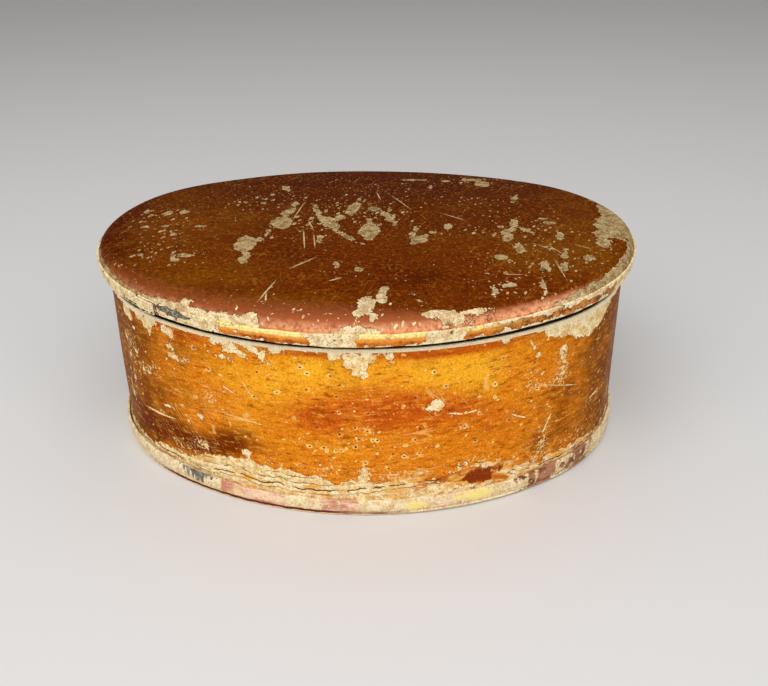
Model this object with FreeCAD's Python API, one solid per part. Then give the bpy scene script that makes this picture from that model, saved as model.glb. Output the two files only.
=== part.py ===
import FreeCAD, Part
import math
import os

# A small oval box of lacquered tinplate with a lift-off lid, all in millimetres.
# The origin is on the table under the middle of the box: X runs along the oval, Z is up.
# Every sheet piece follows one oval of four tangent arcs, drawn with a compass from four
# centres. "Offset" is always a distance outside the wall's outer face, square to the oval,
# and "direction" is the angle of that outward normal, in degrees from +X.

# The oval
wall_length = 96.8
wall_width = 78.0
end_radius = 34.25

# Sheet and solder
sheet = 0.4
solder_film = 0.15

# The body
wall_height = 31.35
base_edge_height = 3.8
base_bend_radius = 0.6
base_bend_chords = 3
base_seam = 0.2
base_groove_depth = 0.7
wall_lap = 5.0
wall_lap_direction = 90.0

# The lid, with its dome and its hidden side of the shoulder as chains of straight chords
lid_gap = 1.95
rim_overhang = 1.2
rim_height = 2.2
rim_flare = 0.3
rim_groove_depth = 0.4
rim_lap = 4.0
rim_lap_direction = 235.0
top_edge_depth = 1.7
shoulder_radius = 2.1
dome_rise = 1.0
flat_end_radius = 4.0
dome_chords = 2
inner_shoulder_chords = 3

# The strip under the lid that plugs into the mouth of the body
plug_clearance = 0.3
plug_depth = 5.0
plug_lap = 4.0
plug_lap_direction = 270.0
fillet_leg = 0.8

# Laps: how far a strip's end takes to climb over its own start, and the notch at its foot
joggle_length = 1.5
lap_notch_clearance = 0.3
butt_gap = 0.05

# What follows from those sizes
half_length = wall_length / 2
half_width = wall_width / 2
side_radius = (half_length ** 2 + half_width ** 2 - 2 * half_length * end_radius) / (
    2 * (half_width - end_radius)
)
end_centre = half_length - end_radius
side_centre = side_radius - half_width
end_angle = math.degrees(math.atan2(side_centre, end_centre))
lap_step = sheet + solder_film
mouth_z = sheet + wall_height
rim_low_z = mouth_z + lid_gap
rim_high_z = rim_low_z + rim_height
rim_lean = math.atan2(rim_flare, rim_height)

UP = FreeCAD.Vector(0, 0, 1)
FULL_TURN = 360.0
QUARTER_TURN = math.pi / 2

# Each arc of the oval: the direction where it ends, its centre and its radius
ARCS = [
    (end_angle, FreeCAD.Vector(end_centre, 0, 0), end_radius),
    (180 - end_angle, FreeCAD.Vector(0, -side_centre, 0), side_radius),
    (180 + end_angle, FreeCAD.Vector(-end_centre, 0, 0), end_radius),
    (360 - end_angle, FreeCAD.Vector(0, side_centre, 0), side_radius),
    (360 + end_angle, FreeCAD.Vector(end_centre, 0, 0), end_radius),
]


def arc_at(direction):
    """The arc that begins at or holds this direction: its end, centre and radius."""
    turns = math.floor(direction / FULL_TURN) * FULL_TURN
    for arc_end, centre, radius in ARCS:
        if direction - turns < arc_end - 1e-6:
            return arc_end + turns, centre, radius


def place(section, direction):
    """Stands a section, drawn as offset along X and height along Z, on the oval."""
    centre, radius = arc_at(direction)[1:]
    placed = section.copy()
    placed.translate(FreeCAD.Vector(radius, 0, 0))
    placed.rotate(FreeCAD.Vector(0, 0, 0), UP, direction)
    placed.translate(centre)
    return placed


def fuse(pieces):
    """Joins touching pieces into one solid and drops the seams between them."""
    if len(pieces) == 1:
        return pieces[0]
    return pieces[0].multiFuse(pieces[1:]).removeSplitter()


def sweep(section, start, end):
    """Carries a section round the oval between two directions, one arc at a time."""
    pieces = []
    direction = start
    while direction < end - 1e-6:
        arc_end, centre = arc_at(direction)[:2]
        stop = min(arc_end, end)
        face = place(section, direction)
        pieces.append(face.revolve(centre, UP, stop - direction))
        direction = stop
    return fuse(pieces)


def ring(section):
    """Carries a section all the way round, from one arc's end."""
    return sweep(section, end_angle, end_angle + FULL_TURN)


def turn_along(direction, length):
    """The change of direction over a length of the oval there."""
    return math.degrees(length / arc_at(direction)[2])


def point(offset, height):
    return FreeCAD.Vector(offset, 0, height)


def polygon(*corners):
    """A section from its corners, each an offset and a height."""
    points = [point(*corner) for corner in corners]
    return Part.Face(Part.makePolygon(points + points[:1]))


def strip_section(low, high, thickness):
    """A strip's section: the offset and height of its inner face's two ends."""
    return polygon(
        low,
        (low[0] + thickness, low[1]),
        (high[0] + thickness, high[1]),
        high,
    )


def moved(corner, offset):
    return (corner[0] + offset, corner[1])


def lapped_strip(low, high, at, lap, step, notch_z=None):
    """A strip bent round the oval whose end climbs over its start and laps it.

    A notch takes the lap's outer layer away below notch_z, where the ends only meet.
    """
    start = at - turn_along(at, lap) / 2
    close = start + FULL_TURN
    climb = close - turn_along(at, joggle_length)
    flat = strip_section(low, high, sheet)
    pieces = [sweep(flat, start, climb)]
    lap_low = low
    if notch_z is not None:
        foot = strip_section(low, (low[0], notch_z), sheet)
        pieces.append(sweep(foot, climb, close - turn_along(at, butt_gap)))
        lap_low = (low[0], notch_z)
    under = place(strip_section(lap_low, high, sheet), climb)
    raised = strip_section(moved(lap_low, step), moved(high, step), sheet)
    over = place(raised, close)
    pieces.append(Part.makeLoft([under.OuterWire, over.OuterWire], True, True))
    pieces.append(sweep(raised, close, close + turn_along(at, lap)))
    return fuse(pieces)


def lap_solder(low, high, at, lap):
    """The film of solder between the two layers of a lap."""
    start = at - turn_along(at, lap) / 2
    return sweep(strip_section(low, high, solder_film), start, start + turn_along(at, lap))


def oval_plate(offset, low_z, high_z):
    """A flat plate between two heights, with the oval's outline at an offset."""
    edges = []
    for before, here in zip(ARCS, ARCS[1:]):
        arc_end, centre, radius = here
        circle = Part.Circle(centre, UP, radius + offset)
        edge = Part.ArcOfCircle(circle, math.radians(before[0]), math.radians(arc_end))
        edges.append(edge.toShape())
    outline = Part.Wire(edges)
    outline.translate(FreeCAD.Vector(0, 0, low_z))
    return Part.Face(outline).extrude(UP * (high_z - low_z))


def arc_points(centre, radius, start, end, chords):
    """Points at even steps on an arc of a section, by its angles from +offset to up."""
    points = []
    for step in range(chords + 1):
        angle = start + (end - start) * step / chords
        points.append(centre + point(radius * math.cos(angle), radius * math.sin(angle)))
    return points


def line(start, end):
    return Part.LineSegment(start, end).toShape()


def chain(points):
    """Straight edges from point to point."""
    return [line(start, end) for start, end in zip(points, points[1:])]


def body_wall():
    """The side strip, bent to the oval and lapped at the back, with a notched foot."""
    notch_z = base_edge_height + lap_notch_clearance
    return lapped_strip(
        (-sheet, sheet), (-sheet, mouth_z), wall_lap_direction, wall_lap, lap_step, notch_z
    )


def wall_lap_solder():
    notch_z = base_edge_height + lap_notch_clearance
    return lap_solder((0, notch_z), (0, mouth_z), wall_lap_direction, wall_lap)


def base_plate():
    """The bottom, with its edge bent up outside the foot of the wall."""
    outer = base_seam + sheet
    flat_end = outer - base_bend_radius
    bend_centre = point(flat_end, base_bend_radius)
    turn = (-QUARTER_TURN, 0, base_bend_chords)
    bend = arc_points(bend_centre, base_bend_radius, *turn)
    inner_bend = arc_points(bend_centre, base_bend_radius - sheet, *turn)
    lip = [point(outer, base_edge_height), point(outer - sheet, base_edge_height)]
    overlap = [point(flat_end - sheet, sheet), point(flat_end - sheet, 0)]
    corners = overlap[1:] + bend + lip + inner_bend[::-1] + overlap
    edge = Part.Face(Part.Wire(chain(corners)))
    return fuse([ring(edge), oval_plate(flat_end - sheet, 0, sheet)])


def base_seam_solder():
    """Solder run into the groove between the wall's foot and the bent-up edge."""
    low = (0, base_bend_radius)
    high = (0, base_edge_height - base_groove_depth)
    return ring(strip_section(low, high, base_seam))


def rim_inner(height):
    """The offset of the lid rim's inner face at a height: it flares a little upwards."""
    return rim_overhang + rim_flare * (height - rim_low_z) / rim_height


def rim_face(low_z, high_z, offset=0.0):
    """The two ends of a line along the rim's inner face, moved out by an offset."""
    low = (rim_inner(low_z) + offset, low_z)
    high = (rim_inner(high_z) + offset, high_z)
    return low, high


def lid_rim():
    """The band round the lid, lapped near one end."""
    low, high = rim_face(rim_low_z, rim_high_z)
    return lapped_strip(low, high, rim_lap_direction, rim_lap, lap_step)


def rim_lap_solder():
    low, high = rim_face(rim_low_z, rim_high_z, sheet)
    return lap_solder(low, high, rim_lap_direction, rim_lap)


def shoulder_centre():
    """The centre of the lid's shoulder, which the bent-down edge runs into smoothly."""
    outer = rim_inner(rim_high_z) - solder_film
    return point(outer - shoulder_radius / math.cos(rim_lean), rim_high_z)


def dome():
    """The dome's slope at the shoulder, its radius and the offset where it is level."""
    shoulder = shoulder_centre().x
    level = flat_end_radius - end_radius
    slope = 2 * math.atan2(dome_rise, shoulder - level)
    radius = (shoulder - level) / math.sin(slope) + shoulder_radius
    return slope, radius, level


def lid_top():
    """The domed top: a level middle, a low dome, the rolled shoulder, the bent-down edge."""
    centre = shoulder_centre()
    slope, dome_radius, level = dome()
    top_z = centre.z + dome_rise + shoulder_radius
    dome_centre = point(level, top_z - dome_radius)
    roll = (-rim_lean, QUARTER_TURN - slope)
    crown = (QUARTER_TURN - slope, QUARTER_TURN, dome_chords)
    shoulder = arc_points(centre, shoulder_radius, *roll, 2)
    inner_shoulder = arc_points(centre, shoulder_radius - sheet, *roll, inner_shoulder_chords)
    dome_out = arc_points(dome_centre, dome_radius, *crown)
    dome_in = arc_points(dome_centre, dome_radius - sheet, *crown)
    down = point(-math.sin(rim_lean), -math.cos(rim_lean)) * top_edge_depth
    edge = [inner_shoulder[0] + down, shoulder[0] + down, shoulder[0]]
    corners = dome_out + dome_in[:0:-1] + inner_shoulder[::-1] + edge
    section = Part.Face(Part.Wire([Part.Arc(*shoulder).toShape()] + chain(corners)))
    return fuse([ring(section), oval_plate(level, top_z - sheet, top_z)])


def lid_rim_solder():
    """Solder between the lid's bent-down edge and the rim, short of the rim's top."""
    low_z = rim_high_z - top_edge_depth
    low, high = rim_face(low_z, rim_high_z - rim_groove_depth, -solder_film)
    return ring(strip_section(low, high, solder_film))


def plug_face():
    """The ends of the plug strip's inner face: from inside the mouth to the lid's top."""
    slope = dome()[0]
    inner = -2 * sheet - plug_clearance
    under_z = shoulder_centre().z + (shoulder_radius - sheet) * math.cos(slope)
    return (inner, mouth_z - plug_depth), (inner, under_z)


def lid_plug():
    """The strip under the lid that slides into the mouth of the body."""
    low, high = plug_face()
    return lapped_strip(low, high, plug_lap_direction, plug_lap, -lap_step)


def plug_lap_solder():
    low, high = plug_face()
    low = moved(low, -solder_film)
    high = moved(high, -solder_film)
    return lap_solder(low, high, plug_lap_direction, plug_lap)


def lid_plug_solder():
    """A fillet of solder in the corner between the plug strip and the lid's top."""
    inner, under_z = plug_face()[1]
    first_chord_slope = dome()[0] * (1 - 0.5 / dome_chords)
    rise = fillet_leg * math.tan(first_chord_slope)
    corner = (inner, under_z)
    fillet = polygon(corner, (inner - fillet_leg, under_z + rise), (inner, under_z - fillet_leg))
    lap = plug_lap_solder().fuse(lid_plug())
    return ring(fillet).cut(lap)


NODES = [
    body_wall,
    wall_lap_solder,
    base_plate,
    base_seam_solder,
    lid_top,
    lid_rim,
    rim_lap_solder,
    lid_rim_solder,
    lid_plug,
    plug_lap_solder,
    lid_plug_solder,
]

os.makedirs("parts", exist_ok=True)
for make in NODES:
    shape = make()
    shape.exportStep("parts/" + make.__name__ + ".step")
    box = shape.optimalBoundingBox(False)
    print(
        f"{make.__name__:18} solids {len(shape.Solids)}  valid {shape.isValid()}"
        f"  volume {shape.Volume:9.1f}  faces {len(shape.Faces):3}"
        f"  x {box.XMin:.2f}..{box.XMax:.2f}  y {box.YMin:.2f}..{box.YMax:.2f}"
        f"  z {box.ZMin:.2f}..{box.ZMax:.2f}"
    )
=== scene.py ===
# %% [markdown]
# # Dressing a small oval tin box
# The box is thin tinplate under a translucent amber lacquer that has chipped and scratched for
# a century. The exact solids come from the packed model. Each visible sheet is made again here
# as a finer mesh on the same oval, because a real lid is never quite flat, and because a finish
# that wraps round the wall needs coordinates that wrap round it too.

# %% Load the frame
import math

import bmesh
import bpy
import numpy as np
from mathutils import Matrix, Vector


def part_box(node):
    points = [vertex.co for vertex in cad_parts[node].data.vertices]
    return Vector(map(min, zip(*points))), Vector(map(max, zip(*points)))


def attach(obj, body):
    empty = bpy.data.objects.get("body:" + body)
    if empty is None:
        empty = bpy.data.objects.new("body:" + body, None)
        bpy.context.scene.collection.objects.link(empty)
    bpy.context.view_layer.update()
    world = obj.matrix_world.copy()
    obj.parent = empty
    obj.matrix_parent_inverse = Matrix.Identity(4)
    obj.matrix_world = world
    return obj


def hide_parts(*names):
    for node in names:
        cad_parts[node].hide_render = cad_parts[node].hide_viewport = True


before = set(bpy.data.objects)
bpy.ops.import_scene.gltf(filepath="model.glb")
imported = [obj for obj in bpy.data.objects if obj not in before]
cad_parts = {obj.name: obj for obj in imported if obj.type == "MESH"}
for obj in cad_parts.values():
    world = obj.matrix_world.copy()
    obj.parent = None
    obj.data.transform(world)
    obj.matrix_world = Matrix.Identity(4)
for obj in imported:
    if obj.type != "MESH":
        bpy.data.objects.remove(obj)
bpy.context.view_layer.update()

MM = 0.001
HAIR = 1e-6              # a difference smaller than this, in metres or degrees, is none
print("nodes:", sorted(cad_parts))

# %% [markdown]
# ## Sizes
# Most sizes are read off the boxes of the solids, so that the meshes follow the frame. The
# radius of the oval's ends, the lid's shoulder and the laps can't be read off a box, so they
# are named here.

# %% Read the sizes
wall_low, wall_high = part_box("body_wall")
base_low, base_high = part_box("base_plate")
groove_low, groove_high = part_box("base_seam_solder")
top_low, top_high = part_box("lid_top")
rim_low, rim_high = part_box("lid_rim")
band_low, band_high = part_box("lid_rim_solder")
plug_low, plug_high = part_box("lid_plug")
fillet_low, fillet_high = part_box("lid_plug_solder")

half_length = wall_high.x
half_width = -wall_low.y
mouth = wall_high.z
sheet = wall_low.z
solder_film = 0.15 * MM
lap_step = sheet + solder_film
end_radius = 34.25 * MM
shoulder_radius = 2.1 * MM
rim_flare = 0.3 * MM
flat_end_radius = 4.0 * MM
print(f"wall {2 * half_length / MM:.1f} x {2 * half_width / MM:.1f} mm, sheet {sheet / MM:.2f} mm")

# %% [markdown]
# ## The oval
# The box is drawn with a compass: two small arcs for the ends and two large ones for the
# sides, which meet without a corner. Every sheet keeps one distance from that oval. A place on
# it is named by its direction, the angle of the outward normal in degrees from +X, and the
# distance round the wall is counted from the middle of the front, positive to the right.

# %% The four arcs
side_radius = (half_length ** 2 + half_width ** 2 - 2 * half_length * end_radius) / (
    2 * (half_width - end_radius)
)
end_centre = half_length - end_radius
side_centre = side_radius - half_width
end_turn = math.degrees(math.atan2(side_centre, end_centre))
FULL = 360.0
FRONT = 270.0
BACK = 90.0
ARCS = [
    (end_turn, Vector((end_centre, 0, 0)), end_radius),
    (180 - end_turn, Vector((0, -side_centre, 0)), side_radius),
    (180 + end_turn, Vector((-end_centre, 0, 0)), end_radius),
    (FULL - end_turn, Vector((0, side_centre, 0)), side_radius),
    (FULL + end_turn, Vector((end_centre, 0, 0)), end_radius),
]


def arc_at(direction):
    """The arc that holds a direction: the direction where it ends, its centre, its radius."""
    turns = math.floor(direction / FULL) * FULL
    for arc_end, centre, radius in ARCS:
        if direction - turns < arc_end - HAIR:
            return arc_end + turns, centre, radius


print(f"the side arcs have a radius of {side_radius / MM:.1f} mm")

# %% [markdown]
# ### Distances round the oval
# A tape laid round the wall measures each arc with its own radius, so a turn is first cut into
# the stretches that lie on one arc each. A length, such as that of a lap, can then be laid off
# at any direction.

# %% Measure round the oval
def stretches(start, end):
    """Cuts a turn from start to end where the arcs meet."""
    found = []
    while start < end - HAIR:
        arc_end, centre, radius = arc_at(start)
        stop = min(arc_end, end)
        found.append((start, stop, centre, radius))
        start = stop
    return found


def length_round(start, end):
    """The length of the wall between two directions."""
    return sum(radius * math.radians(stop - at) for at, stop, _, radius in stretches(start, end))


perimeter = length_round(FRONT, FRONT + FULL)


def along(direction):
    """The distance round the wall from the front's middle, from two turns back or later."""
    return length_round(FRONT - 2 * FULL, direction) - 2 * perimeter


def turn_for(direction, length):
    """The turn that covers a length of the wall at a direction."""
    return math.degrees(length / arc_at(direction)[2])


print(f"once round the wall is {perimeter / MM:.1f} mm")

# %% [markdown]
# ## Carrying a section round the oval
# A tinsmith bends a strip round a former. In Blender the same shape is a section that is
# carried round the oval. First the section is stood up at a direction. Each vertex keeps two
# numbers: how far round the wall it is, and how far up its section. They become the UV map, so
# that a finish can be laid out on the strip as if it were still flat.

# %% Stand a section
STEP = 0.6 * MM


def new_mesh():
    """An empty mesh whose vertices know their place on the flat strip."""
    bm = bmesh.new()
    bm.verts.layers.float.new("along")
    bm.verts.layers.float.new("up")
    return bm


def mark_along(bm, verts, centre, at, stop):
    """Writes how far round the wall each vertex of one arc lies."""
    layer = bm.verts.layers.float["along"]
    middle = (at + stop) / 2
    radius = arc_at(middle)[2]
    behind = along(at) - radius * math.radians(at)
    for vert in verts:
        out = vert.co - centre
        direction = math.degrees(math.atan2(out.y, out.x))
        direction += FULL * round((middle - direction) / FULL)
        vert[layer] = behind + radius * math.radians(direction)


def stand(bm, section, direction, closed=True):
    """Draws a section of (offset, height) points at a direction of the oval."""
    centre, radius = arc_at(direction)[1:]
    angle = math.radians(direction)
    outward = Vector((math.cos(angle), math.sin(angle), 0))
    up = bm.verts.layers.float["up"]
    around = bm.verts.layers.float["along"]
    verts = []
    rise = section[0][1]
    for index, (offset, height) in enumerate(section):
        if index:
            rise += math.dist(section[index - 1], section[index])
        vert = bm.verts.new(centre + outward * (radius + offset) + Vector((0, 0, height)))
        vert[up] = rise
        vert[around] = along(direction)
        verts.append(vert)
    pairs = list(zip(verts, verts[1:]))
    if closed:
        pairs.append((verts[-1], verts[0]))
    return verts + [bm.edges.new(pair) for pair in pairs]


print(f"at {STEP / MM} mm a step, once round is {round(perimeter / STEP)} sections")

# %% [markdown]
# ### Sweeping it round
# The section could be bridged from copy to copy by hand. The spin operator does the same in one
# call for each arc, about that arc's own centre, so the curve stays exact. Spin copies the first
# section's numbers, so each new vertex gets its own distance afterwards. A cut end of a strip
# is closed with one face.

# %% Sweep a section
def sweep(bm, section, start, end, step=STEP):
    """Spins a standing section from one direction to another and returns its last copy."""
    for at, stop, centre, radius in stretches(start, end):
        known = len(bm.verts)
        steps = max(1, round(radius * math.radians(stop - at) / step))
        made = bmesh.ops.spin(
            bm,
            geom=section,
            cent=centre,
            axis=(0, 0, 1),
            dvec=(0, 0, 0),
            angle=math.radians(stop - at),
            steps=steps,
            use_merge=False,
            use_duplicate=False,
        )
        section = made["geom_last"]
        mark_along(bm, list(bm.verts)[known:], centre, at, stop)
    return section


def edges_of(geom):
    """The edges among some geometry."""
    return [item for item in geom if isinstance(item, bmesh.types.BMEdge)]


def verts_of(geom):
    """The vertices among some geometry."""
    return [item for item in geom if isinstance(item, bmesh.types.BMVert)]


def cap(bm, section):
    """Closes a strip's cut end with one face."""
    bmesh.ops.contextual_create(bm, geom=edges_of(section))


trial = new_mesh()
trial_start = stand(trial, [(0, 0), (0, mouth)], end_turn, closed=False)
sweep(trial, trial_start, end_turn, end_turn + FULL)
print(f"a plain band round the wall has {len(trial.faces)} faces")
trial.free()

# %% [markdown]
# ### Lapping the ends
# A strip's outer end climbs over its own start by a joggle, a small step that is set with a
# punch, and then lies on it for the length of the lap. Where the wall stands inside the base's
# edge there is no room for two layers, so below a notch the ends only meet.

# %% Lap a strip
JOGGLE = 1.5 * MM


def climb(bm, section, start, end, step_out):
    """Extrudes a section a short way round while it moves out by one thickness."""
    centre = arc_at(start)[1]
    known = len(bm.verts)
    grown = bmesh.ops.extrude_edge_only(bm, edges=edges_of(section))["geom"]
    section = [item for item in grown if not isinstance(item, bmesh.types.BMFace)]
    verts = verts_of(section)
    turn = Matrix.Rotation(math.radians(end - start), 3, "Z")
    bmesh.ops.rotate(bm, verts=verts, cent=centre, matrix=turn)
    angle = math.radians(end)
    outward = Vector((math.cos(angle), math.sin(angle), 0))
    bmesh.ops.translate(bm, verts=verts, vec=outward * step_out)
    mark_along(bm, list(bm.verts)[known:], centre, start, end)
    edges = [edge for edge in edges_of(section) if all(vert in verts for vert in edge.verts)]
    return verts + edges


def lapped(bm, section, at, lap, step_out, notch=None):
    """A strip whose end climbs over its own start; below a notch the ends only meet."""
    start = at - turn_for(at, lap) / 2
    close = start + FULL
    lift = close - turn_for(at, JOGGLE)
    first = stand(bm, section, start)
    end = sweep(bm, first, start, lift)
    cap(bm, first)
    if notch is not None:
        foot = [point for point in section if point[1] <= notch]
        cap(bm, sweep(bm, stand(bm, foot, lift), lift, close - turn_for(at, 0.05 * MM)))
        end = stand(bm, [point for point in section if point[1] >= notch], lift)
    raised = climb(bm, end, lift, close, step_out)
    cap(bm, sweep(bm, raised, close, close + turn_for(at, lap)))


print(f"a joggle of {JOGGLE / MM} mm lifts an end by {lap_step / MM:.2f} mm")

# %% [markdown]
# ## From a mesh to a piece
# A piece is one solid of the real box. Its UV map is written before the seam of the sweep is
# merged, because afterwards the first and last column share their vertices. Each piece may also
# carry fields: one number per vertex, such as the distance to the nearest chip in the lacquer,
# which its finish reads as an attribute. An image could hold the same, but it would blur.

# %% Write the map and the fields
def close_seam(bm):
    """Writes the UV map, with the front's middle at zero, then merges the sweep's seam."""
    uv = bm.loops.layers.uv.new("wrap")
    around = bm.verts.layers.float["along"]
    up = bm.verts.layers.float["up"]
    for face in bm.faces:
        middle = sum(vert[around] for vert in face.verts) / len(face.verts)
        shift = perimeter * round(middle / perimeter)
        for loop in face.loops:
            loop[uv].uv = (loop.vert[around] - shift, loop.vert[up])
    bmesh.ops.remove_doubles(bm, verts=bm.verts, dist=HAIR)


def read_layer(mesh, name):
    """One number per vertex, from a layer of the mesh."""
    values = np.empty(len(mesh.vertices))
    mesh.attributes[name].data.foreach_get("value", values)
    return values


def write_fields(mesh, fields):
    """Gives each vertex the value of each field, from its place on the sheet in mm."""
    place = np.empty(3 * len(mesh.vertices))
    mesh.vertices.foreach_get("co", place)
    x, y, z = place.reshape(-1, 3).T / MM
    s = read_layer(mesh, "along")
    s = (s - perimeter * np.round(s / perimeter)) / MM
    v = read_layer(mesh, "up") / MM
    for name, field in fields.items():
        layer = mesh.attributes.new(name, "FLOAT", "POINT")
        layer.data.foreach_set("value", field(x, y, z, s, v).astype(np.float32))


print("a field is a rule for one number per vertex, from its place in mm")

# %% [markdown] ### Making the piece The normals are made to point outwards, and creases
# sharper than 35 degrees stay sharp.

# %% Make a piece
CREASE = 35.0


def make_piece(bm, name, body, fields=None, seam=True):
    """Turns a bmesh into an object that stands for one solid of the model."""
    if seam:
        close_seam(bm)
    bmesh.ops.recalc_face_normals(bm, faces=bm.faces)
    for face in bm.faces:
        face.smooth = True
    mesh = bpy.data.meshes.new(name)
    bm.to_mesh(mesh)
    bm.free()
    mesh.set_sharp_from_angle(angle=math.radians(CREASE))
    write_fields(mesh, fields or {})
    made = bpy.data.objects.new(name + "_made", mesh)
    bpy.context.scene.collection.objects.link(made)
    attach(made, body)
    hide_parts(name)
    print(f"{name}: {len(mesh.vertices)} vertices, {len(mesh.polygons)} faces")
    return made


print(f"edges sharper than {CREASE:.0f} degrees stay sharp")

# %% [markdown]
# ### Bends and handwork
# Every section is made of straight runs and small bends. Hand-bent tin is never true, so the
# swept pieces are then pushed a little: a sum of sines gives an unevenness that looks random
# and is the same at every run, and a hump marks one place on the wall.

# %% Bends and handwork
def rows(low, high, count):
    """Evenly spaced values from low to high, both included."""
    return [low + (high - low) * step / count for step in range(count + 1)]


def bend(centre, radius, start, end, count):
    """Points on an arc of a section, by angles in degrees from outwards to up."""
    points = []
    for angle in rows(math.radians(start), math.radians(end), count):
        points.append(
            (centre[0] + radius * math.cos(angle), centre[1] + radius * math.sin(angle))
        )
    return points


def from_front(distance):
    """A distance round the wall, counted the short way from the front's middle."""
    return distance - perimeter * round(distance / perimeter)


def push_out(vert, amount):
    """Moves a vertex straight away from the box's upright middle line."""
    flat = Vector((vert.co.x, vert.co.y, 0))
    vert.co += flat.normalized() * amount


def uneven(distance, seed):
    """A repeatable unevenness along the wall, seldom more than one either way."""
    turn = 2 * math.pi * distance / perimeter
    total = 0
    for cycles, phase in ((7, 0.3), (13, 1.7), (23, 4.1), (41, 2.2), (67, 5.0)):
        total += math.sin(cycles * turn + phase * seed)
    return total / 3


def hump(distance, middle, reach):
    """A smooth hump of height one round a place on the wall."""
    share = (distance - middle) / reach
    return math.exp(-share * share)


swells = [uneven(perimeter * index / 200, 1) for index in range(200)]
print(f"handwork swings from {min(swells):.2f} to {max(swells):.2f}")

# %% [markdown]
# ## Where the lacquer has gone
# The wear is laid out like a map, in millimetres: on the lid by x and y, and on the strips by
# the distance round the wall and the height. A chip is an ellipse, a worn band has an edge that
# wanders, and each is kept as a distance, negative inside. A distance can be blended between
# vertices half a millimetre apart and still give a crisp edge once the finish adds fine noise.

# %% Distance fields
def spots(across, up, marks):
    """The distance to the nearest of some ellipses: place, half sizes and turn in degrees."""
    nearest = np.full(across.shape, 99.0)
    for place_across, place_up, half_across, half_up, *turn in marks:
        angle = math.radians(turn[0] if turn else 0)
        dx = across - place_across
        dy = up - place_up
        along_axis = (dx * math.cos(angle) + dy * math.sin(angle)) / half_across
        over_axis = (dy * math.cos(angle) - dx * math.sin(angle)) / half_up
        reach = (np.hypot(along_axis, over_axis) - 1) * min(half_across, half_up)
        nearest = np.minimum(nearest, reach)
    return nearest


def clouds(across, up, marks):
    """Soft patches that add up: place, half sizes and strength."""
    total = np.zeros(across.shape)
    for place_across, place_up, half_across, half_up, strength in marks:
        share = ((across - place_across) / half_across) ** 2
        share += ((up - place_up) / half_up) ** 2
        total += strength * np.exp(-share)
    return total


def edge_line(distance, corners):
    """A wandering line round the wall, from pairs of distance and height."""
    return np.interp(distance, [c[0] for c in corners], [c[1] for c in corners])


def ramp(value, low, high):
    """Zero at a low value, one at a high one, and straight between."""
    return np.clip((value - low) / (high - low), 0, 1)


print("distance, cloud and edge fields are ready")

# %% [markdown]
# ### The lid's chips
# Each chip is an ellipse, listed by x and y with its half sizes and its turn. Two are long,
# where something was dragged over the lid, and the largest are at the right end. They could be
# scattered by noise, but a real box wears where it is handled, so each has its place.

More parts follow.
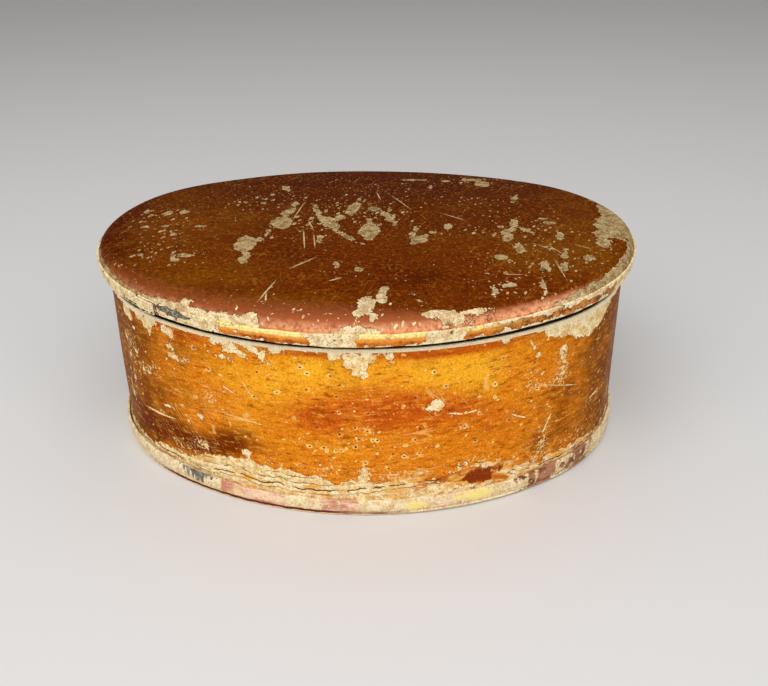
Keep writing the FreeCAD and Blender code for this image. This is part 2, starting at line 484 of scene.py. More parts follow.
# %% List the lid's chips
LID_CHIPS = [
    (-21.0, -11.2, 1.8, 3.8), (-20.1, -17.2, 0.9, 2.9), (-18.9, -8.6, 0.6, 1.3),
    (-17.9, -4.8, 0.4, 2.2), (-16.0, 0.4, 1.9, 3.2, 8), (-15.7, 6.6, 0.9, 3.4, -14),
    (-14.9, 11.4, 0.7, 1.8), (-9.2, 4.6, 0.6, 5.0, 16), (-6.6, 0.6, 1.2, 3.6, 20),
    (-3.8, -5.6, 0.6, 4.4, 36), (-5.2, 3.6, 0.8, 1.8), (0.9, -3.8, 1.8, 4.3),
    (0.6, 1.8, 0.5, 2.6), (-2.9, 9.6, 1.2, 4.4, -8), (-2.0, 14.2, 0.5, 1.8),
    (1.2, 8.8, 0.9, 1.6, 40), (3.2, 6.0, 0.8, 2.6, 24), (4.6, 2.6, 0.7, 1.6),
    (5.6, 0.4, 0.5, 1.4), (10.2, -8.2, 1.3, 2.4, -30), (8.9, -5.6, 0.6, 2.0),
    (9.4, -3.2, 0.4, 1.4), (15.5, -2.0, 0.6, 2.0), (12.8, -4.4, 0.8, 0.6),
    (26.3, -6.6, 1.1, 3.4, -6), (27.8, -1.8, 0.6, 2.6, -14), (28.2, 1.8, 0.4, 1.4),
    (29.4, -3.0, 0.3, 2.2, 34), (27.8, -13.0, 0.8, 2.0), (24.4, -17.2, 1.0, 1.2),
    (25.6, -18.2, 0.6, 0.8), (31.5, -20.3, 0.7, 1.4), (34.5, -21.3, 0.6, 2.0, -8),
    (35.3, -15.8, 0.6, 2.2, -16), (39.4, -17.2, 0.9, 1.4), (35.6, -6.8, 0.6, 1.8),
    (34.6, 0.0, 1.1, 0.8), (33.8, 2.6, 0.9, 0.7), (24.5, -27.8, 1.1, 0.8),
    (22.2, -30.0, 0.6, 1.6), (30.3, -28.0, 0.4, 2.8, -4), (14.3, -37.3, 3.4, 1.1),
    (19.4, -36.1, 1.6, 0.4, 12), (9.9, -32.8, 0.5, 1.4, 16), (2.0, -34.6, 1.5, 2.6),
    (4.3, -32.4, 0.9, 1.9), (1.2, -37.2, 1.1, 1.3), (4.7, -29.8, 0.7, 1.4),
    (3.4, -38.3, 0.8, 0.9), (46.2, -2.0, 3.2, 6.4), (44.0, -5.8, 1.8, 2.6),
    (42.9, -9.9, 1.4, 2.0), (47.0, 7.0, 1.8, 6.0), (23.6, 26.6, 1.6, 2.4),
    (21.6, 30.4, 2.2, 1.0), (9.0, 30.6, 2.0, 0.7), (15.8, 29.6, 0.8, 0.8),
    (12.4, 23.6, 0.4, 1.8), (29.6, 15.6, 0.4, 1.8, -14), (-18.2, 22.6, 0.8, 1.8, 20),
    (-43.8, 5.8, 0.6, 1.0), (-39.0, 5.0, 0.8, 1.6, -14), (-36.0, 5.6, 0.9, 1.2),
    (-41.5, -3.0, 0.8, 0.5), (-37.8, -2.6, 0.7, 0.6), (-31.4, -3.0, 1.0, 0.5),
    (-35.0, -7.2, 0.4, 0.7), (-26.2, 12.2, 0.4, 1.2, 20), (-25.2, 0.6, 0.3, 1.0),
    (-21.4, 12.0, 0.5, 0.8), (-30.2, -16.6, 2.0, 0.5), (-32.0, -18.6, 0.8, 0.8),
    (-38.8, -16.5, 0.6, 0.5), (-40.0, -16.1, 0.4, 0.4), (-3.8, -19.8, 0.4, 1.0),
    (0.0, -21.9, 0.7, 0.9), (-27.0, -33.3, 1.1, 0.5), (-16.0, -37.7, 1.4, 0.7),
    (-26.6, -31.0, 0.4, 0.6), (-8.0, -7.6, 0.5, 1.4), (-16.8, -7.8, 0.5, 0.6),
]
print(f"{len(LID_CHIPS)} chips on the lid")

# %% [markdown]
# ### Crumbs and colours on the lid
# Small crumbs of lacquer came away in clusters. Each cluster gets a soft cloud here, and the
# finish scatters the crumbs in it. The same clouds say where the lacquer is gold, because it
# has worn thin, and where it is maroon, because it is thick.

# %% Lay out the lid's crumbs and colours
LID_CRUMBS = [
    (-40, 3, 7, 7, 1.0), (-36, -8, 7, 8, 0.9), (-31, -18, 5, 4, 1.0), (-25, 12, 6, 7, 0.9),
    (-12, -2, 8, 10, 0.8), (-4, 8, 9, 9, 1.0), (4, 4, 5, 7, 0.9), (14, -3, 8, 4, 0.8),
    (24, -2, 7, 7, 0.8), (34, -3, 7, 8, 1.0), (30, -19, 11, 9, 1.0), (22, 13, 12, 7, 0.8),
    (20, 30, 8, 5, 0.9), (3, 22, 10, 9, 0.7), (2, -21, 9, 5, 0.6), (25, -29, 8, 4, 0.9),
    (5, -34, 5, 5, 0.6), (-8, -37.5, 15, 2.4, 0.8), (7, -39, 10, 1.5, 0.6),
    (-18, 17, 7, 7, 0.7), (-29, 27, 9, 5, 0.5), (-8, 29, 6, 5, 0.7), (33, 27, 8, 6, 0.5),
    (-40, -19, 4, 5, 0.9), (-16, -32, 7, 5, 0.5), (44, -14, 4, 6, 0.8),
]
LID_GOLD = [
    (-36, -6, 12, 14, 0.9), (-26, -25, 13, 7, 1.0), (-12, -34, 13, 4, 1.0),
    (41, -3, 9, 16, 0.8), (35, -18, 12, 9, 0.9), (20, -8, 14, 10, 0.5),
    (-20, 4, 10, 8, 0.6), (40, 17, 9, 10, 0.5), (-36, 15, 9, 8, 0.5), (16, 12, 12, 9, 0.4),
]
LID_MAROON = [
    (-44, -15, 7, 10, 1.3), (-47, 2, 4, 16, 1.1), (-12, -15, 9, 5, 0.6),
    (6, -24, 13, 8, 0.8), (-10, 32, 26, 8, 0.7), (12, 21, 12, 12, 0.6), (-36, -27, 7, 4, 0.7),
]
print(f"{len(LID_CRUMBS)} clusters of crumbs, {len(LID_GOLD)} patches of gold")

# %% [markdown]
# ### The lid's shoulder
# The rolled shoulder is listed by the distance round the wall: how wide its worn band is, and
# how wide and strong the rosy sheen is that is painted on it as a reflection, with a painted
# highlight along it. The lid's sheet and the solder under its edge share these fields, and only
# count the distance up the shoulder differently.

# %% Lay out the lid's shoulder
SHOULDER_WEAR = [
    (-140, 0.6), (-100, 0.3), (-70, 1.0), (-55, 1.2), (-44, 0.8), (-36, 0.6), (-31, 1.2),
    (-27, 1.6), (-23, 1.2), (-19, 1.8), (-15, 1.0), (-11.5, -1.0), (-5, -1.0), (-2, 0.6),
    (0, 1.4), (3, 1.2), (5, 0.4), (7, -1.0), (12, -1.0), (14, 0.4), (16, 0.3), (18, -1.0),
    (28, -1.0), (34, 0.6), (38, 1.4), (46, 1.9), (60, 2.4), (75, 3.4), (88, 3.0),
    (100, 1.5), (115, 0.8), (140, 0.6),
]
# The rosy sheen and the pale highlight on the shoulder are a painted reflection.
SHEEN_SHARE = [
    (-60, 0.0), (-44, 0.3), (-26, 0.5), (-10, 0.75), (0, 0.9), (30, 1.0), (40, 0.8), (50, 0.0),
]
SHEEN_WIDTH = [(-60, 3.0), (-24, 6.6), (-4, 8.2), (8, 6.0), (16, 3.4), (30, 2.2), (60, 2.0)]


def lid_fields(reach):
    """The lid's fields; reach gives the distance in mm up the shoulder from the rim."""
    return {
        "bare": lambda x, y, z, s, v: MM * np.minimum(
            spots(x, y, LID_CHIPS), reach(v) - edge_line(s, SHOULDER_WEAR)
        ),
        "crumbs": lambda x, y, z, s, v: 1.1 * clouds(x, y, LID_CRUMBS),
        "gold": lambda x, y, z, s, v: clouds(x, y, LID_GOLD),
        "maroon": lambda x, y, z, s, v: clouds(x, y, LID_MAROON),
        "rosy": lambda x, y, z, s, v: edge_line(s, SHEEN_SHARE) * ramp(
            reach(v), edge_line(s, SHEEN_WIDTH), 1.2
        ),
        "glare": lambda x, y, z, s, v: edge_line(s, SHEEN_SHARE) * ramp(reach(v), 2.2, 0.8),
        "seam": lambda x, y, z, s, v: (
            ramp(s, -15, -11) * ramp(s, 30, 24) * ramp(reach(v), 0.5, 0.1)
        ),
        "inside": lambda x, y, z, s, v: ramp(reach(v), -1.7, -1.9),
    }


bared = sum(1 for _, width in SHOULDER_WEAR if width > 0)
print(f"the shoulder is bare at {bared} of its {len(SHOULDER_WEAR)} places")

# %% [markdown]
# ### The wall's chips
# The wall is listed by the distance round it and the height. Most of its chips hang from the
# mouth, a row of them is torn along a bold ridge at the lower right, and a few lie alone.

# %% List the wall's chips
WALL_CHIPS = [
    (-46.0, 30.2, 1.5, 1.3), (-44.5, 29.3, 0.7, 1.1), (-40.6, 30.5, 1.6, 0.9),
    (-38.8, 29.9, 1.2, 1.6), (-38.2, 28.7, 0.6, 0.9), (-37.2, 30.6, 1.2, 0.8),
    (-33.8, 30.1, 1.0, 0.9), (-32.6, 29.4, 0.7, 1.2), (-23.4, 30.6, 0.8, 0.6),
    (-20.4, 30.2, 1.5, 0.9), (-18.6, 29.2, 1.0, 0.5, -20), (-16.4, 30.7, 1.2, 0.7),
    (-14.5, 29.6, 0.7, 1.2), (-13.9, 28.6, 0.5, 0.5), (-12.0, 30.9, 1.2, 0.5),
    (-7.4, 30.7, 0.8, 0.5), (-3.0, 30.5, 1.0, 0.8), (-0.4, 29.6, 1.2, 1.6),
    (0.9, 28.8, 1.4, 1.9), (1.6, 27.5, 0.7, 0.8), (2.5, 30.3, 1.1, 1.0),
    (5.8, 30.6, 0.3, 0.9), (25.2, 31.0, 1.2, 0.4), (-32.6, 25.3, 1.2, 0.35),
    (-30.3, 25.8, 0.9, 0.4), (-25.0, 24.8, 0.5, 0.4), (-40.6, 20.0, 1.2, 0.35),
    (-34.6, 18.2, 0.3, 0.6), (-35.8, 14.6, 0.8, 0.3), (-28.0, 15.2, 0.5, 0.4),
    (-30.2, 12.7, 0.5, 0.35), (-28.8, 9.6, 0.8, 0.5), (-27.6, 9.0, 0.5, 0.6),
    (-19.4, 10.2, 0.9, 0.7), (13.4, 21.1, 1.3, 1.0), (12.6, 20.6, 0.8, 0.6),
    (36.8, 24.4, 0.5, 0.8), (36.6, 21.6, 0.7, 0.4), (32.6, 22.8, 0.4, 0.3),
    (18.0, 16.0, 0.5, 0.4), (1.2, 8.4, 0.6, 1.3), (13.0, 6.4, 2.2, 0.35, 18),
    (16.6, 7.6, 2.0, 0.4, 14), (20.2, 8.1, 2.2, 0.5),
    (23.4, 7.9, 1.3, 0.4, -24), (-48.4, 24.0, 0.7, 0.8), (-47.2, 20.4, 0.5, 0.7),
    (-46.4, 16.2, 0.4, 0.6), (-48.8, 17.0, 0.5, 0.9), (-49.2, 11.4, 0.5, 0.8),
    (-44.2, 22.6, 0.5, 0.4), (-43.4, 27.6, 0.5, 0.4), (-37.8, 13.1, 0.3, 0.3),
    (-33.0, 27.0, 0.7, 0.3), (-27.6, 28.3, 1.6, 0.25), (-22.4, 28.0, 0.9, 0.3),
    (-37.6, 9.5, 0.4, 0.3), (36.8, 26.3, 0.9, 0.7), (31.2, 26.9, 0.4, 0.5),
    (30.6, 28.9, 0.3, 0.8), (3.2, 4.9, 1.5, 0.6), (7.7, 5.8, 0.5, 0.35),
    (12.1, 5.5, 0.8, 0.5), (13.9, 6.3, 0.4, 0.5), (10.4, 8.0, 0.3, 0.3),
]
print(f"{len(WALL_CHIPS)} chips on the wall")

# %% [markdown]
# ### The wall's mouth and foot
# The lacquer ended a little below the mouth. Along the foot, solder and old paint were smeared
# upwards; the smear is highest at the left, and wavy cracks run through it. Each edge is a
# wandering line, and the scraps of lacquer that were kept in the smear are listed on their own.

# %% Lay out the mouth and the foot
WALL_TOP_EDGE = [
    (-140, 31.2), (-60, 31.2), (-48, 30.9), (-42, 31.0), (-36, 31.4), (-30, 31.3),
    (-24, 31.2), (-19, 30.9), (-13, 31.3), (-8, 31.4), (-3, 31.1), (4, 31.3), (9, 31.5),
    (30, 31.5), (32.4, 30.4), (34, 29.3), (36, 28.9), (38.3, 28.6), (39.6, 27.5),
    (42, 26.9), (45, 27.0), (47.5, 27.7), (49.5, 29.2), (51.5, 30.9), (56, 31.2), (140, 31.2),
]
WALL_FOOT_EDGE = [
    (-140, 4.6), (-70, 4.5), (-46, 4.7), (-40, 5.2), (-36, 5.6), (-31, 6.2), (-27.5, 7.5),
    (-23.7, 8.0), (-20, 8.6), (-18, 8.5), (-16, 8.2), (-13, 8.1), (-8.8, 7.6), (-5.3, 7.0),
    (-1.9, 6.5), (0.5, 6.2), (6, 5.9), (12, 5.7), (16.5, 5.0), (18.5, 4.0), (24, 4.0),
    (27, 4.6), (29, 5.2), (37, 5.4), (42, 5.3), (48, 4.9), (60, 4.8), (140, 4.6),
]
WALL_KEPT = [(20.8, 6.0, 2.8, 1.7), (24.6, 5.0, 2.4, 1.0, -24)]
FOOT_CRACK = [
    (-140, 3.9), (-40, 4.6), (-30, 4.4), (-24, 5.2), (-20.5, 5.7), (-18.5, 5.0), (-16, 4.8),
    (-13.6, 5.4), (-11.5, 4.8), (-6.6, 4.6), (-2, 4.9), (3, 5.6), (8, 6.1), (12, 6.4), (24, 6.0),
    (30, 4.4), (140, 3.9),
]
smear_top = max(height for _, height in WALL_FOOT_EDGE)
print(f"the smear at the foot reaches {smear_top} mm up the wall")

# %% [markdown]
# ### The wall's colours
# A yellow glow high on the front, under the lid, is a painted highlight. The lacquer is red
# brown in a long sweep at mid height and under the mouth, and dark at the lower left, and it is
# painted browner towards both ends as shade.

# %% Lay out the wall's colours
# Painted highlight: a yellow glow high on the front wall.
WALL_HIGHLIGHT = [
    (-3, 28.3, 9, 3.2, 1.0), (16, 26.8, 10, 3.8, 1.2), (-13, 25, 9, 4.5, 0.8),
    (-26, 22, 12, 6, 0.4), (0, 13.5, 18, 2.6, 0.4), (23, 22, 7, 4, 0.5), (-18, 17, 8, 3, 0.3),
]
WALL_DARK = [
    (-41, 8.5, 9, 3.4, 1.3), (-29, 9.3, 8, 2.6, 1.0), (-20, 11.5, 5, 2.4, 0.5),
    (-45, 13, 6, 5, 0.5), (33, 8, 8, 4, 0.3), (-25, 12.5, 9, 3.4, 0.55), (36, 15, 8, 9, 0.45),
]
WALL_RED = [
    (4, 20.9, 12, 3.8, 1.0), (-6, 18.0, 7, 2.8, 0.7), (15, 19.0, 10, 3.8, 0.7),
    (24, 15, 8, 4, 0.4), (18, 30.6, 12, 0.9, 1.3), (9, 30.5, 5, 0.6, 0.7),
    (-30.5, 30.2, 7, 0.9, 1.3), (-36, 30.4, 1.2, 1.6, 1.2), (-42.6, 30.2, 1.2, 1.4, 1.0),
    (-8, 30.6, 5, 0.7, 1.0), (21.2, 5.9, 3.6, 2.0, 1.8), (27, 6.6, 3, 2, 0.6),
]
# Painted shade: the wall is browner towards both ends.
WALL_END_SHADE = [
    (-140, 0.7), (-90, 0.9), (-58, 1.3), (-48, 1.1), (-40, 0.8), (-30, 0.5), (-20, 0.0),
    (28, 0.0), (36, 0.4), (46, 0.9), (56, 1.3), (90, 0.9), (140, 0.7),
]
print(f"{len(WALL_HIGHLIGHT)} yellow, {len(WALL_RED)} red and {len(WALL_DARK)} dark patches")

# %% [markdown]
# ### The wall's pinholes and scuffs
# Two more clouds say where rust has pitted the tin and where the lacquer is scuffed. Then all
# of the wall's lists become its fields. What is bare is the nearest of the chips, the mouth and
# the foot, less the scraps that were kept.

# %% Lay out the wall's pits and scuffs
WALL_PITTED = [
    (-8, 22, 16, 7, 0.8), (2, 13, 18, 6, 1.0), (24, 22, 12, 6, 0.6), (-26, 20, 8, 8, 0.4),
]
WALL_SCUFFS = [
    (-41.5, 20.2, 2.6, 1.2, 1.0), (-38, 21.5, 1.2, 1.0, 0.7), (-45, 24, 2.5, 3, 0.6),
    (-25.6, 19.2, 1.4, 1.6, 1.1), (-34.5, 18.2, 0.8, 1.0, 0.8), (-31, 25.6, 3.2, 0.8, 0.9),
    (-28.5, 9.4, 2.2, 1.2, 1.1), (-22, 21.6, 2.2, 0.9, 0.5), (37, 23, 1.6, 4, 1.1),
    (33, 20.6, 3.4, 0.9, 0.9), (31, 24, 1.6, 2.4, 0.6), (33.8, 11, 1.2, 3.2, 0.9),
    (49, 13, 3.5, 1.0, 0.8), (8, 7.6, 5, 1.2, 0.7), (1.5, 8.8, 1.6, 1.6, 1.0),
    (-5, 9, 4, 1.5, 0.7), (2, 17, 1.2, 1.0, 0.8), (18, 16, 1.2, 0.9, 0.8), (27.5, 16, 2, 0.9, 0.6),
    (-14, 9.2, 3, 1.2, 0.6), (42, 7.5, 7, 2.0, 0.6), (-47, 18, 2, 8, 0.6), (33, 7, 2, 3, 0.5),
    (-2, 14, 8, 2, 0.35), (5, 22.5, 5, 2, 0.3), (-33, 7.4, 5, 1.0, 0.7), (20, 9, 6, 1.2, 0.5),
]


def wall_bare(x, y, z, s, v):
    """The distance to the nearest bare tin, negative on it."""
    chips = spots(s, v, WALL_CHIPS)
    mouth_band = edge_line(s, WALL_TOP_EDGE) - v
    foot_band = v - edge_line(s, WALL_FOOT_EDGE)
    gone = np.minimum(np.minimum(chips, mouth_band), foot_band)
    return MM * np.maximum(gone, -spots(s, v, WALL_KEPT))


WALL_FIELDS = {
    "bare": wall_bare,
    "glow": lambda x, y, z, s, v: clouds(s, v, WALL_HIGHLIGHT),
    "dark": lambda x, y, z, s, v: clouds(s, v, WALL_DARK),
    "red": lambda x, y, z, s, v: clouds(s, v, WALL_RED),
    "ends": lambda x, y, z, s, v: edge_line(s, WALL_END_SHADE),
    "pitted": lambda x, y, z, s, v: clouds(s, v, WALL_PITTED),
    "scuffs": lambda x, y, z, s, v: clouds(s, v, WALL_SCUFFS),
    "crack": lambda x, y, z, s, v: MM * (v - edge_line(s, FOOT_CRACK)),
}
print(f"{len(WALL_PITTED)} pitted and {len(WALL_SCUFFS)} scuffed places on the wall")

# %% [markdown]
# ## The section of a strip
# Wall, rim and plug are all strips of the same tin, so one function draws their section: the
# outer face upwards, a top edge that is worn round, and the inner face down. The outer face has
# the finer rows, because that is where the wear is seen.

# %% Draw a strip's section
EDGE_ROUND = 0.1 * MM


def strip_section(outer, low, high, thickness, fine, keep=(), flare=0, rounding=EDGE_ROUND):
    """A closed strip section: outer face upwards, a rounded top edge, inner face down."""
    inner = outer - thickness
    fine = sorted(set(fine) | set(keep) | {low})
    top = high - EDGE_ROUND
    coarse = sorted(set(rows(low, top, len(fine) // 8 + 1)) | set(keep), reverse=True)
    section = [(outer, height) for height in fine if height < high - rounding - HAIR]
    section += bend((outer - rounding, high - rounding), rounding, 0, 90, 4)
    section += bend((inner + EDGE_ROUND, top), EDGE_ROUND, 90, 150, 2)
    section += [(inner, height) for height in coarse]
    return [
        (offset + flare * (height - low) / (high - low), height) for offset, height in section
    ]


print(f"cut edges are rounded to {EDGE_ROUND / MM} mm")

# %% [markdown]
# ### The smear along the foot
# Solder and paint stand off the wall in low ridges, a tenth to a third of a millimetre high.
# Bump alone would vanish at the outline, so the mesh itself moves, and the finish adds only
# the finest cracks.

# %% Shape the smear
SMEAR_TOP = 9.4 * MM
RIDGE_LINE = [(11, 5.5), (14, 6.6), (17.5, 7.8), (23.6, 7.6), (24.5, 7.0)]


def smear_height(s, v):
    """How far, in mm, the smear along the foot stands off the wall."""
    inside = ramp(v, 3.6, 4.2) * ramp(edge_line(s, WALL_FOOT_EDGE) - v, 0.0, 0.6)
    ridges = 1 - 0.6 * math.cos(2 * math.pi * (v - edge_line(s, FOOT_CRACK)) / 1.15)
    near_ridge = ramp(abs(v - edge_line(s, RIDGE_LINE)), 0.6, 0.2)
    ridge = 0.25 * ramp(s, 11, 13) * ramp(s, 24.5, 23) * near_ridge
    return 0.10 * inside * ridges * (1 + 0.5 * uneven(3 * MM * s, 7)) + ridge


print(f"at the front's middle the smear stands off {smear_height(0, 5):.2f} mm")

# %% [markdown]
# ## The wall
# The wall is one strip with its ends lapped at the back. It could be extruded straight up from
# an oval, but a swept section gives the lap and the worn edge in one go. It then gets shallow
# swells, which fade out at the foot, the mouth and the lap, where other pieces hold it to shape.

# %% Model the wall
WALL_LAP = 5 * MM
SWELL = 0.15 * MM
notch_height = base_high.z + 0.3 * MM
bm = new_mesh()
around = bm.verts.layers.float["along"]
up = bm.verts.layers.float["up"]
wall_heights = rows(sheet, SMEAR_TOP, 32) + rows(SMEAR_TOP, mouth - EDGE_ROUND, 38)
wall_section = strip_section(0, sheet, mouth, sheet, wall_heights, keep=(notch_height,))
lapped(bm, wall_section, BACK, WALL_LAP, lap_step, notch=notch_height)
for vert in bm.verts:
    share = (vert.co.z - notch_height) / (mouth - notch_height)
    fade = math.sin(math.pi * min(max(share, 0), 1))
    fade *= 1 - hump(abs(vert[around]), perimeter / 2, 14 * MM)
    push_out(vert, SWELL * fade * uneven(vert[around] / 2, 1))
    if vert[up] < SMEAR_TOP:
        where = from_front(vert[around])
        push_out(vert, MM * smear_height(where / MM, vert.co.z / MM))
body_wall = make_piece(bm, "body_wall", "body", WALL_FIELDS)

# %% [markdown]
# ## The base's edge
# The base is a flat sheet with its edge beaten up outside the foot of the wall. The hammer
# leaves the edge uneven, so its height is listed round the wall, with the place of the lacquer
# that is left on it and a few yellow smears, which near the roll's top are partly a painted
# highlight.

# %% Lay out the base's edge
LIP_LIFT = [
    (-140, 0.0), (-90, 0.2), (-70, 0.5), (-50, 0.4), (-38, 0.1), (-30, -0.3), (-12, -0.5),
    (5, -0.5), (15, -0.4), (30, -0.2), (45, 0.2), (60, 0.5), (75, 0.4), (100, 0.1), (140, 0.0),
]
BASE_WEAR = [
    (-140, 0.0), (-75, -0.5), (-61, -1.4), (-38, -1.4), (-25, -0.9), (-24, 0.8), (-13, 0.7),
    (-12, -0.9), (-6.5, -0.9), (-5.5, 0.5), (0, 0.4), (1, -1.0), (12, -0.7), (14, 0.0),
    (16, -0.3), (26, -1.0), (29, -0.3), (31, 0.3), (36, 0.35), (38.5, -0.3), (40, 0.25),
    (46, 0.3), (49, -0.8), (75, -0.4), (140, 0.0),
]
# Yellow smears, and near the top of the roll partly a painted highlight.
BASE_SMEAR_AND_HIGHLIGHT = [
    (9.5, 2.0, 2.6, 1.2, 1.0), (20.5, 2.4, 4.5, 1.2, 1.1), (-21.5, 2.2, 2.0, 0.9, 0.7),
    (-9, 2.2, 3, 1.2, 0.5),
]
BASE_FIELDS = {
    "bare": lambda x, y, z, s, v: MM * np.where(
        (v < 1.4) | ((v > 4) & (z < 0.5)), -1.0, edge_line(s, BASE_WEAR)
    ),
    "height": lambda x, y, z, s, v: z * MM,
    "yellow": lambda x, y, z, s, v: clouds(s, z, BASE_SMEAR_AND_HIGHLIGHT),
}
lifts = [lift for _, lift in LIP_LIFT]
print(f"the base's edge wanders from {min(lifts)} to {max(lifts)} mm")

# %% [markdown]
# ### The section of the base's edge
# From underneath it goes round the bend, up the outside with a slight roll, over a rounded top,
# down the inside and round the bend again, and ends a little way into the floor.

# %% Draw the base's section
LIP_ROUND = 0.12 * MM
BEND_RADIUS = 0.6 * MM
FLOOR_RING = 1.5 * MM
lip_out = base_high.x - half_length
lip_in = lip_out - sheet
lip_top = base_high.z
floor_end = lip_out - BEND_RADIUS
bend_centre = (floor_end, BEND_RADIUS)
base_section = [(floor_end - FLOOR_RING, 0)]
base_section += bend(bend_centre, BEND_RADIUS, -90, 0, 6)
for height in rows(BEND_RADIUS, lip_top - LIP_ROUND, 16)[1:]:
    share = (height - BEND_RADIUS) / (lip_top - BEND_RADIUS)
    roll = 0.14 * math.sin(math.pi * max(0, share - 0.1) / 0.9) - 0.12 * hump(share, 0.08, 0.07)
    base_section.append((lip_out + roll * MM, height))
base_section += bend((lip_out - LIP_ROUND, lip_top - LIP_ROUND), LIP_ROUND, 30, 90, 2)
base_section += bend((lip_in + LIP_ROUND, lip_top - LIP_ROUND), LIP_ROUND, 90, 150, 2)
base_section += [(lip_in, height) for height in (2.6 * MM, 1.3 * MM)]
base_section += bend(bend_centre, BEND_RADIUS - sheet, 0, -90, 3)
base_section += [(floor_end - FLOOR_RING, sheet)]
print(f"the base's edge has {len(base_section)} points and stands {lip_top / MM:.1f} mm high")

# %% [markdown]
# ## The base
# The section is swept round, then each vertex is lifted and pushed as the hammer left it. Near
# the left end the edge has opened, so that a dark groove shows behind it. The two flat floors,
# inside and underneath, are single faces.

# %% Model the base plate
def fill_loop(bm, at_height):
    """Closes the open loop of edges at one height with a single face."""
    loop = [
        edge
        for edge in bm.edges
        if edge.is_boundary and all(abs(vert.co.z - at_height) < HAIR for vert in edge.verts)
    ]
    return bmesh.ops.contextual_create(bm, geom=loop)["faces"]


bm = new_mesh()
around = bm.verts.layers.float["along"]
start = stand(bm, base_section, end_turn, closed=False)
sweep(bm, start, end_turn, end_turn + FULL)
close_seam(bm)
for vert in bm.verts:
    lift = max(0, vert.co.z - BEND_RADIUS) / (lip_top - BEND_RADIUS)
    where = from_front(vert[around])
    gape = 0.45 * hump(where, -50 * MM, 12 * MM)
    push_out(vert, lift * MM * (gape + 0.08 * uneven(vert[around], 1)))
    beaten = edge_line(where / MM, LIP_LIFT) + 0.12 * uneven(vert[around], 2) - 0.1
    vert.co.z += lift * MM * beaten
fill_loop(bm, 0)
fill_loop(bm, sheet)
base_plate = make_piece(bm, "base_plate", "body", BASE_FIELDS, seam=False)

# %% [markdown]
# ## The base's solder
# Solder was run into the groove between the wall's foot and the bent-up edge. It is a smooth
# low bead for most of the way, and a wrinkled lump at the left front, where it was put on cold.

# %% Model the base solder
LUMP_AT = -30 * MM
bm = new_mesh()
around = bm.verts.layers.float["along"]
bead_low = groove_low.z
bead_top = groove_high.z
bead_section = [(0, bead_low), (lip_in, bead_low), (lip_in, bead_low + 0.9 * MM)]
bead_section += [(lip_in, bead_top - 0.25 * MM)]
bead_section += bend((lip_in / 2, bead_top - lip_in / 2), lip_in / 2, 20, 160, 6)
bead_section += [(0, bead_top - 0.25 * MM)]
sweep(bm, stand(bm, bead_section, end_turn), end_turn, end_turn + FULL, 0.25 * MM)
close_seam(bm)
for vert in bm.verts:
    where = from_front(vert[around])
    rise = max(0, vert.co.z - bead_low) / (bead_top - bead_low)
    lump = hump(where, LUMP_AT, 5.5 * MM)
    wrinkle = 1 + 0.30 * math.sin(where / (0.17 * MM)) + 0.25 * uneven(4 * where, 3)
    full = hump(where, 4 * MM, 32 * MM) * (0.45 + 0.12 * uneven(3 * where, 4))
    vert.co.z += rise * MM * (edge_line(where / MM, LIP_LIFT) + 0.9 * lump * wrinkle + full)
    push_out(vert, rise ** 0.3 * MM * (0.75 * lump * wrinkle + 0.12 * full))
base_seam_solder = make_piece(bm, "base_seam_solder", "body", seam=False)

# %% [markdown]
# ## How the lid is bent
# The real lid has sprung: its ends stand higher than its middle, and it sits a little turned on
# the wall. Every sheet of the lid takes the same bend after it is modelled true, so that they
# still touch where they are soldered.

# %% Bend the lid
LID_BOW = 1.47 * MM
LID_TURN = -0.009


def spring(bm):
    """Lifts the ends and lowers the middle of a lid piece, and turns it a little."""
    for vert in bm.verts:
        vert.co.z += LID_BOW * ((vert.co.x / (50 * MM)) ** 2 - 0.5)
    bmesh.ops.rotate(bm, verts=bm.verts, matrix=Matrix.Rotation(LID_TURN, 3, "Z"))


print(f"the lid's ends stand {LID_BOW / MM:.2f} mm above its middle")

# %% [markdown]
# ## The section of the lid's top
# One sheet was beaten over a former into a low dome with a rolled shoulder and a short edge
# turned down inside the rim. The section needs three tangent runs: the dome's arc, the
# shoulder's arc and the straight edge, which leans with the rim. Their centres follow from the
# sizes of the solid.

# %% Draw the lid's section
rim_out = 1.2 * MM
rim_lean = math.atan2(rim_flare, rim_high.z - rim_low.z)
shoulder_at = rim_out + rim_flare - solder_film - shoulder_radius / math.cos(rim_lean)
shoulder_centre = (shoulder_at, rim_high.z)
level = flat_end_radius - end_radius
dome_rise = top_high.z - rim_high.z - shoulder_radius
dome_slope = 2 * math.atan2(dome_rise, shoulder_at - level)
dome_radius = (shoulder_at - level) / math.sin(dome_slope) + shoulder_radius
dome_centre = (level, top_high.z - dome_radius)
dome_turn = 90 - math.degrees(dome_slope)
lean = math.degrees(rim_lean)
turned_down = 1.7 * MM


def crown_side(thickness, dome_rows, shoulder_rows):
    """One side of the lid's sheet, from the level middle out to the turned-down edge."""
    side = bend(dome_centre, dome_radius - thickness, 90, dome_turn, dome_rows)
    side += bend(
        shoulder_centre, shoulder_radius - thickness, dome_turn, -lean, shoulder_rows
    )[1:]
    offset, height = side[-1]
    for down in rows(0, turned_down, 3)[1:]:
        side.append((offset - down * math.sin(rim_lean), height - down * math.cos(rim_lean)))
    return side


rim_line = top_high.z + dome_radius * dome_slope
rim_line += shoulder_radius * math.radians(dome_turn + lean)
print(f"the dome rises {dome_rise / MM:.1f} mm, with a radius of {dome_radius / MM:.0f} mm")

# %% [markdown]
# ## The lid's top
# The section is swept round the oval, and the level middle that is left open is filled with one
# face on each side. A face that large can't bend, so it is cut into strips both ways. Then the
# sheet gets its shallow dents and the lid's bend.

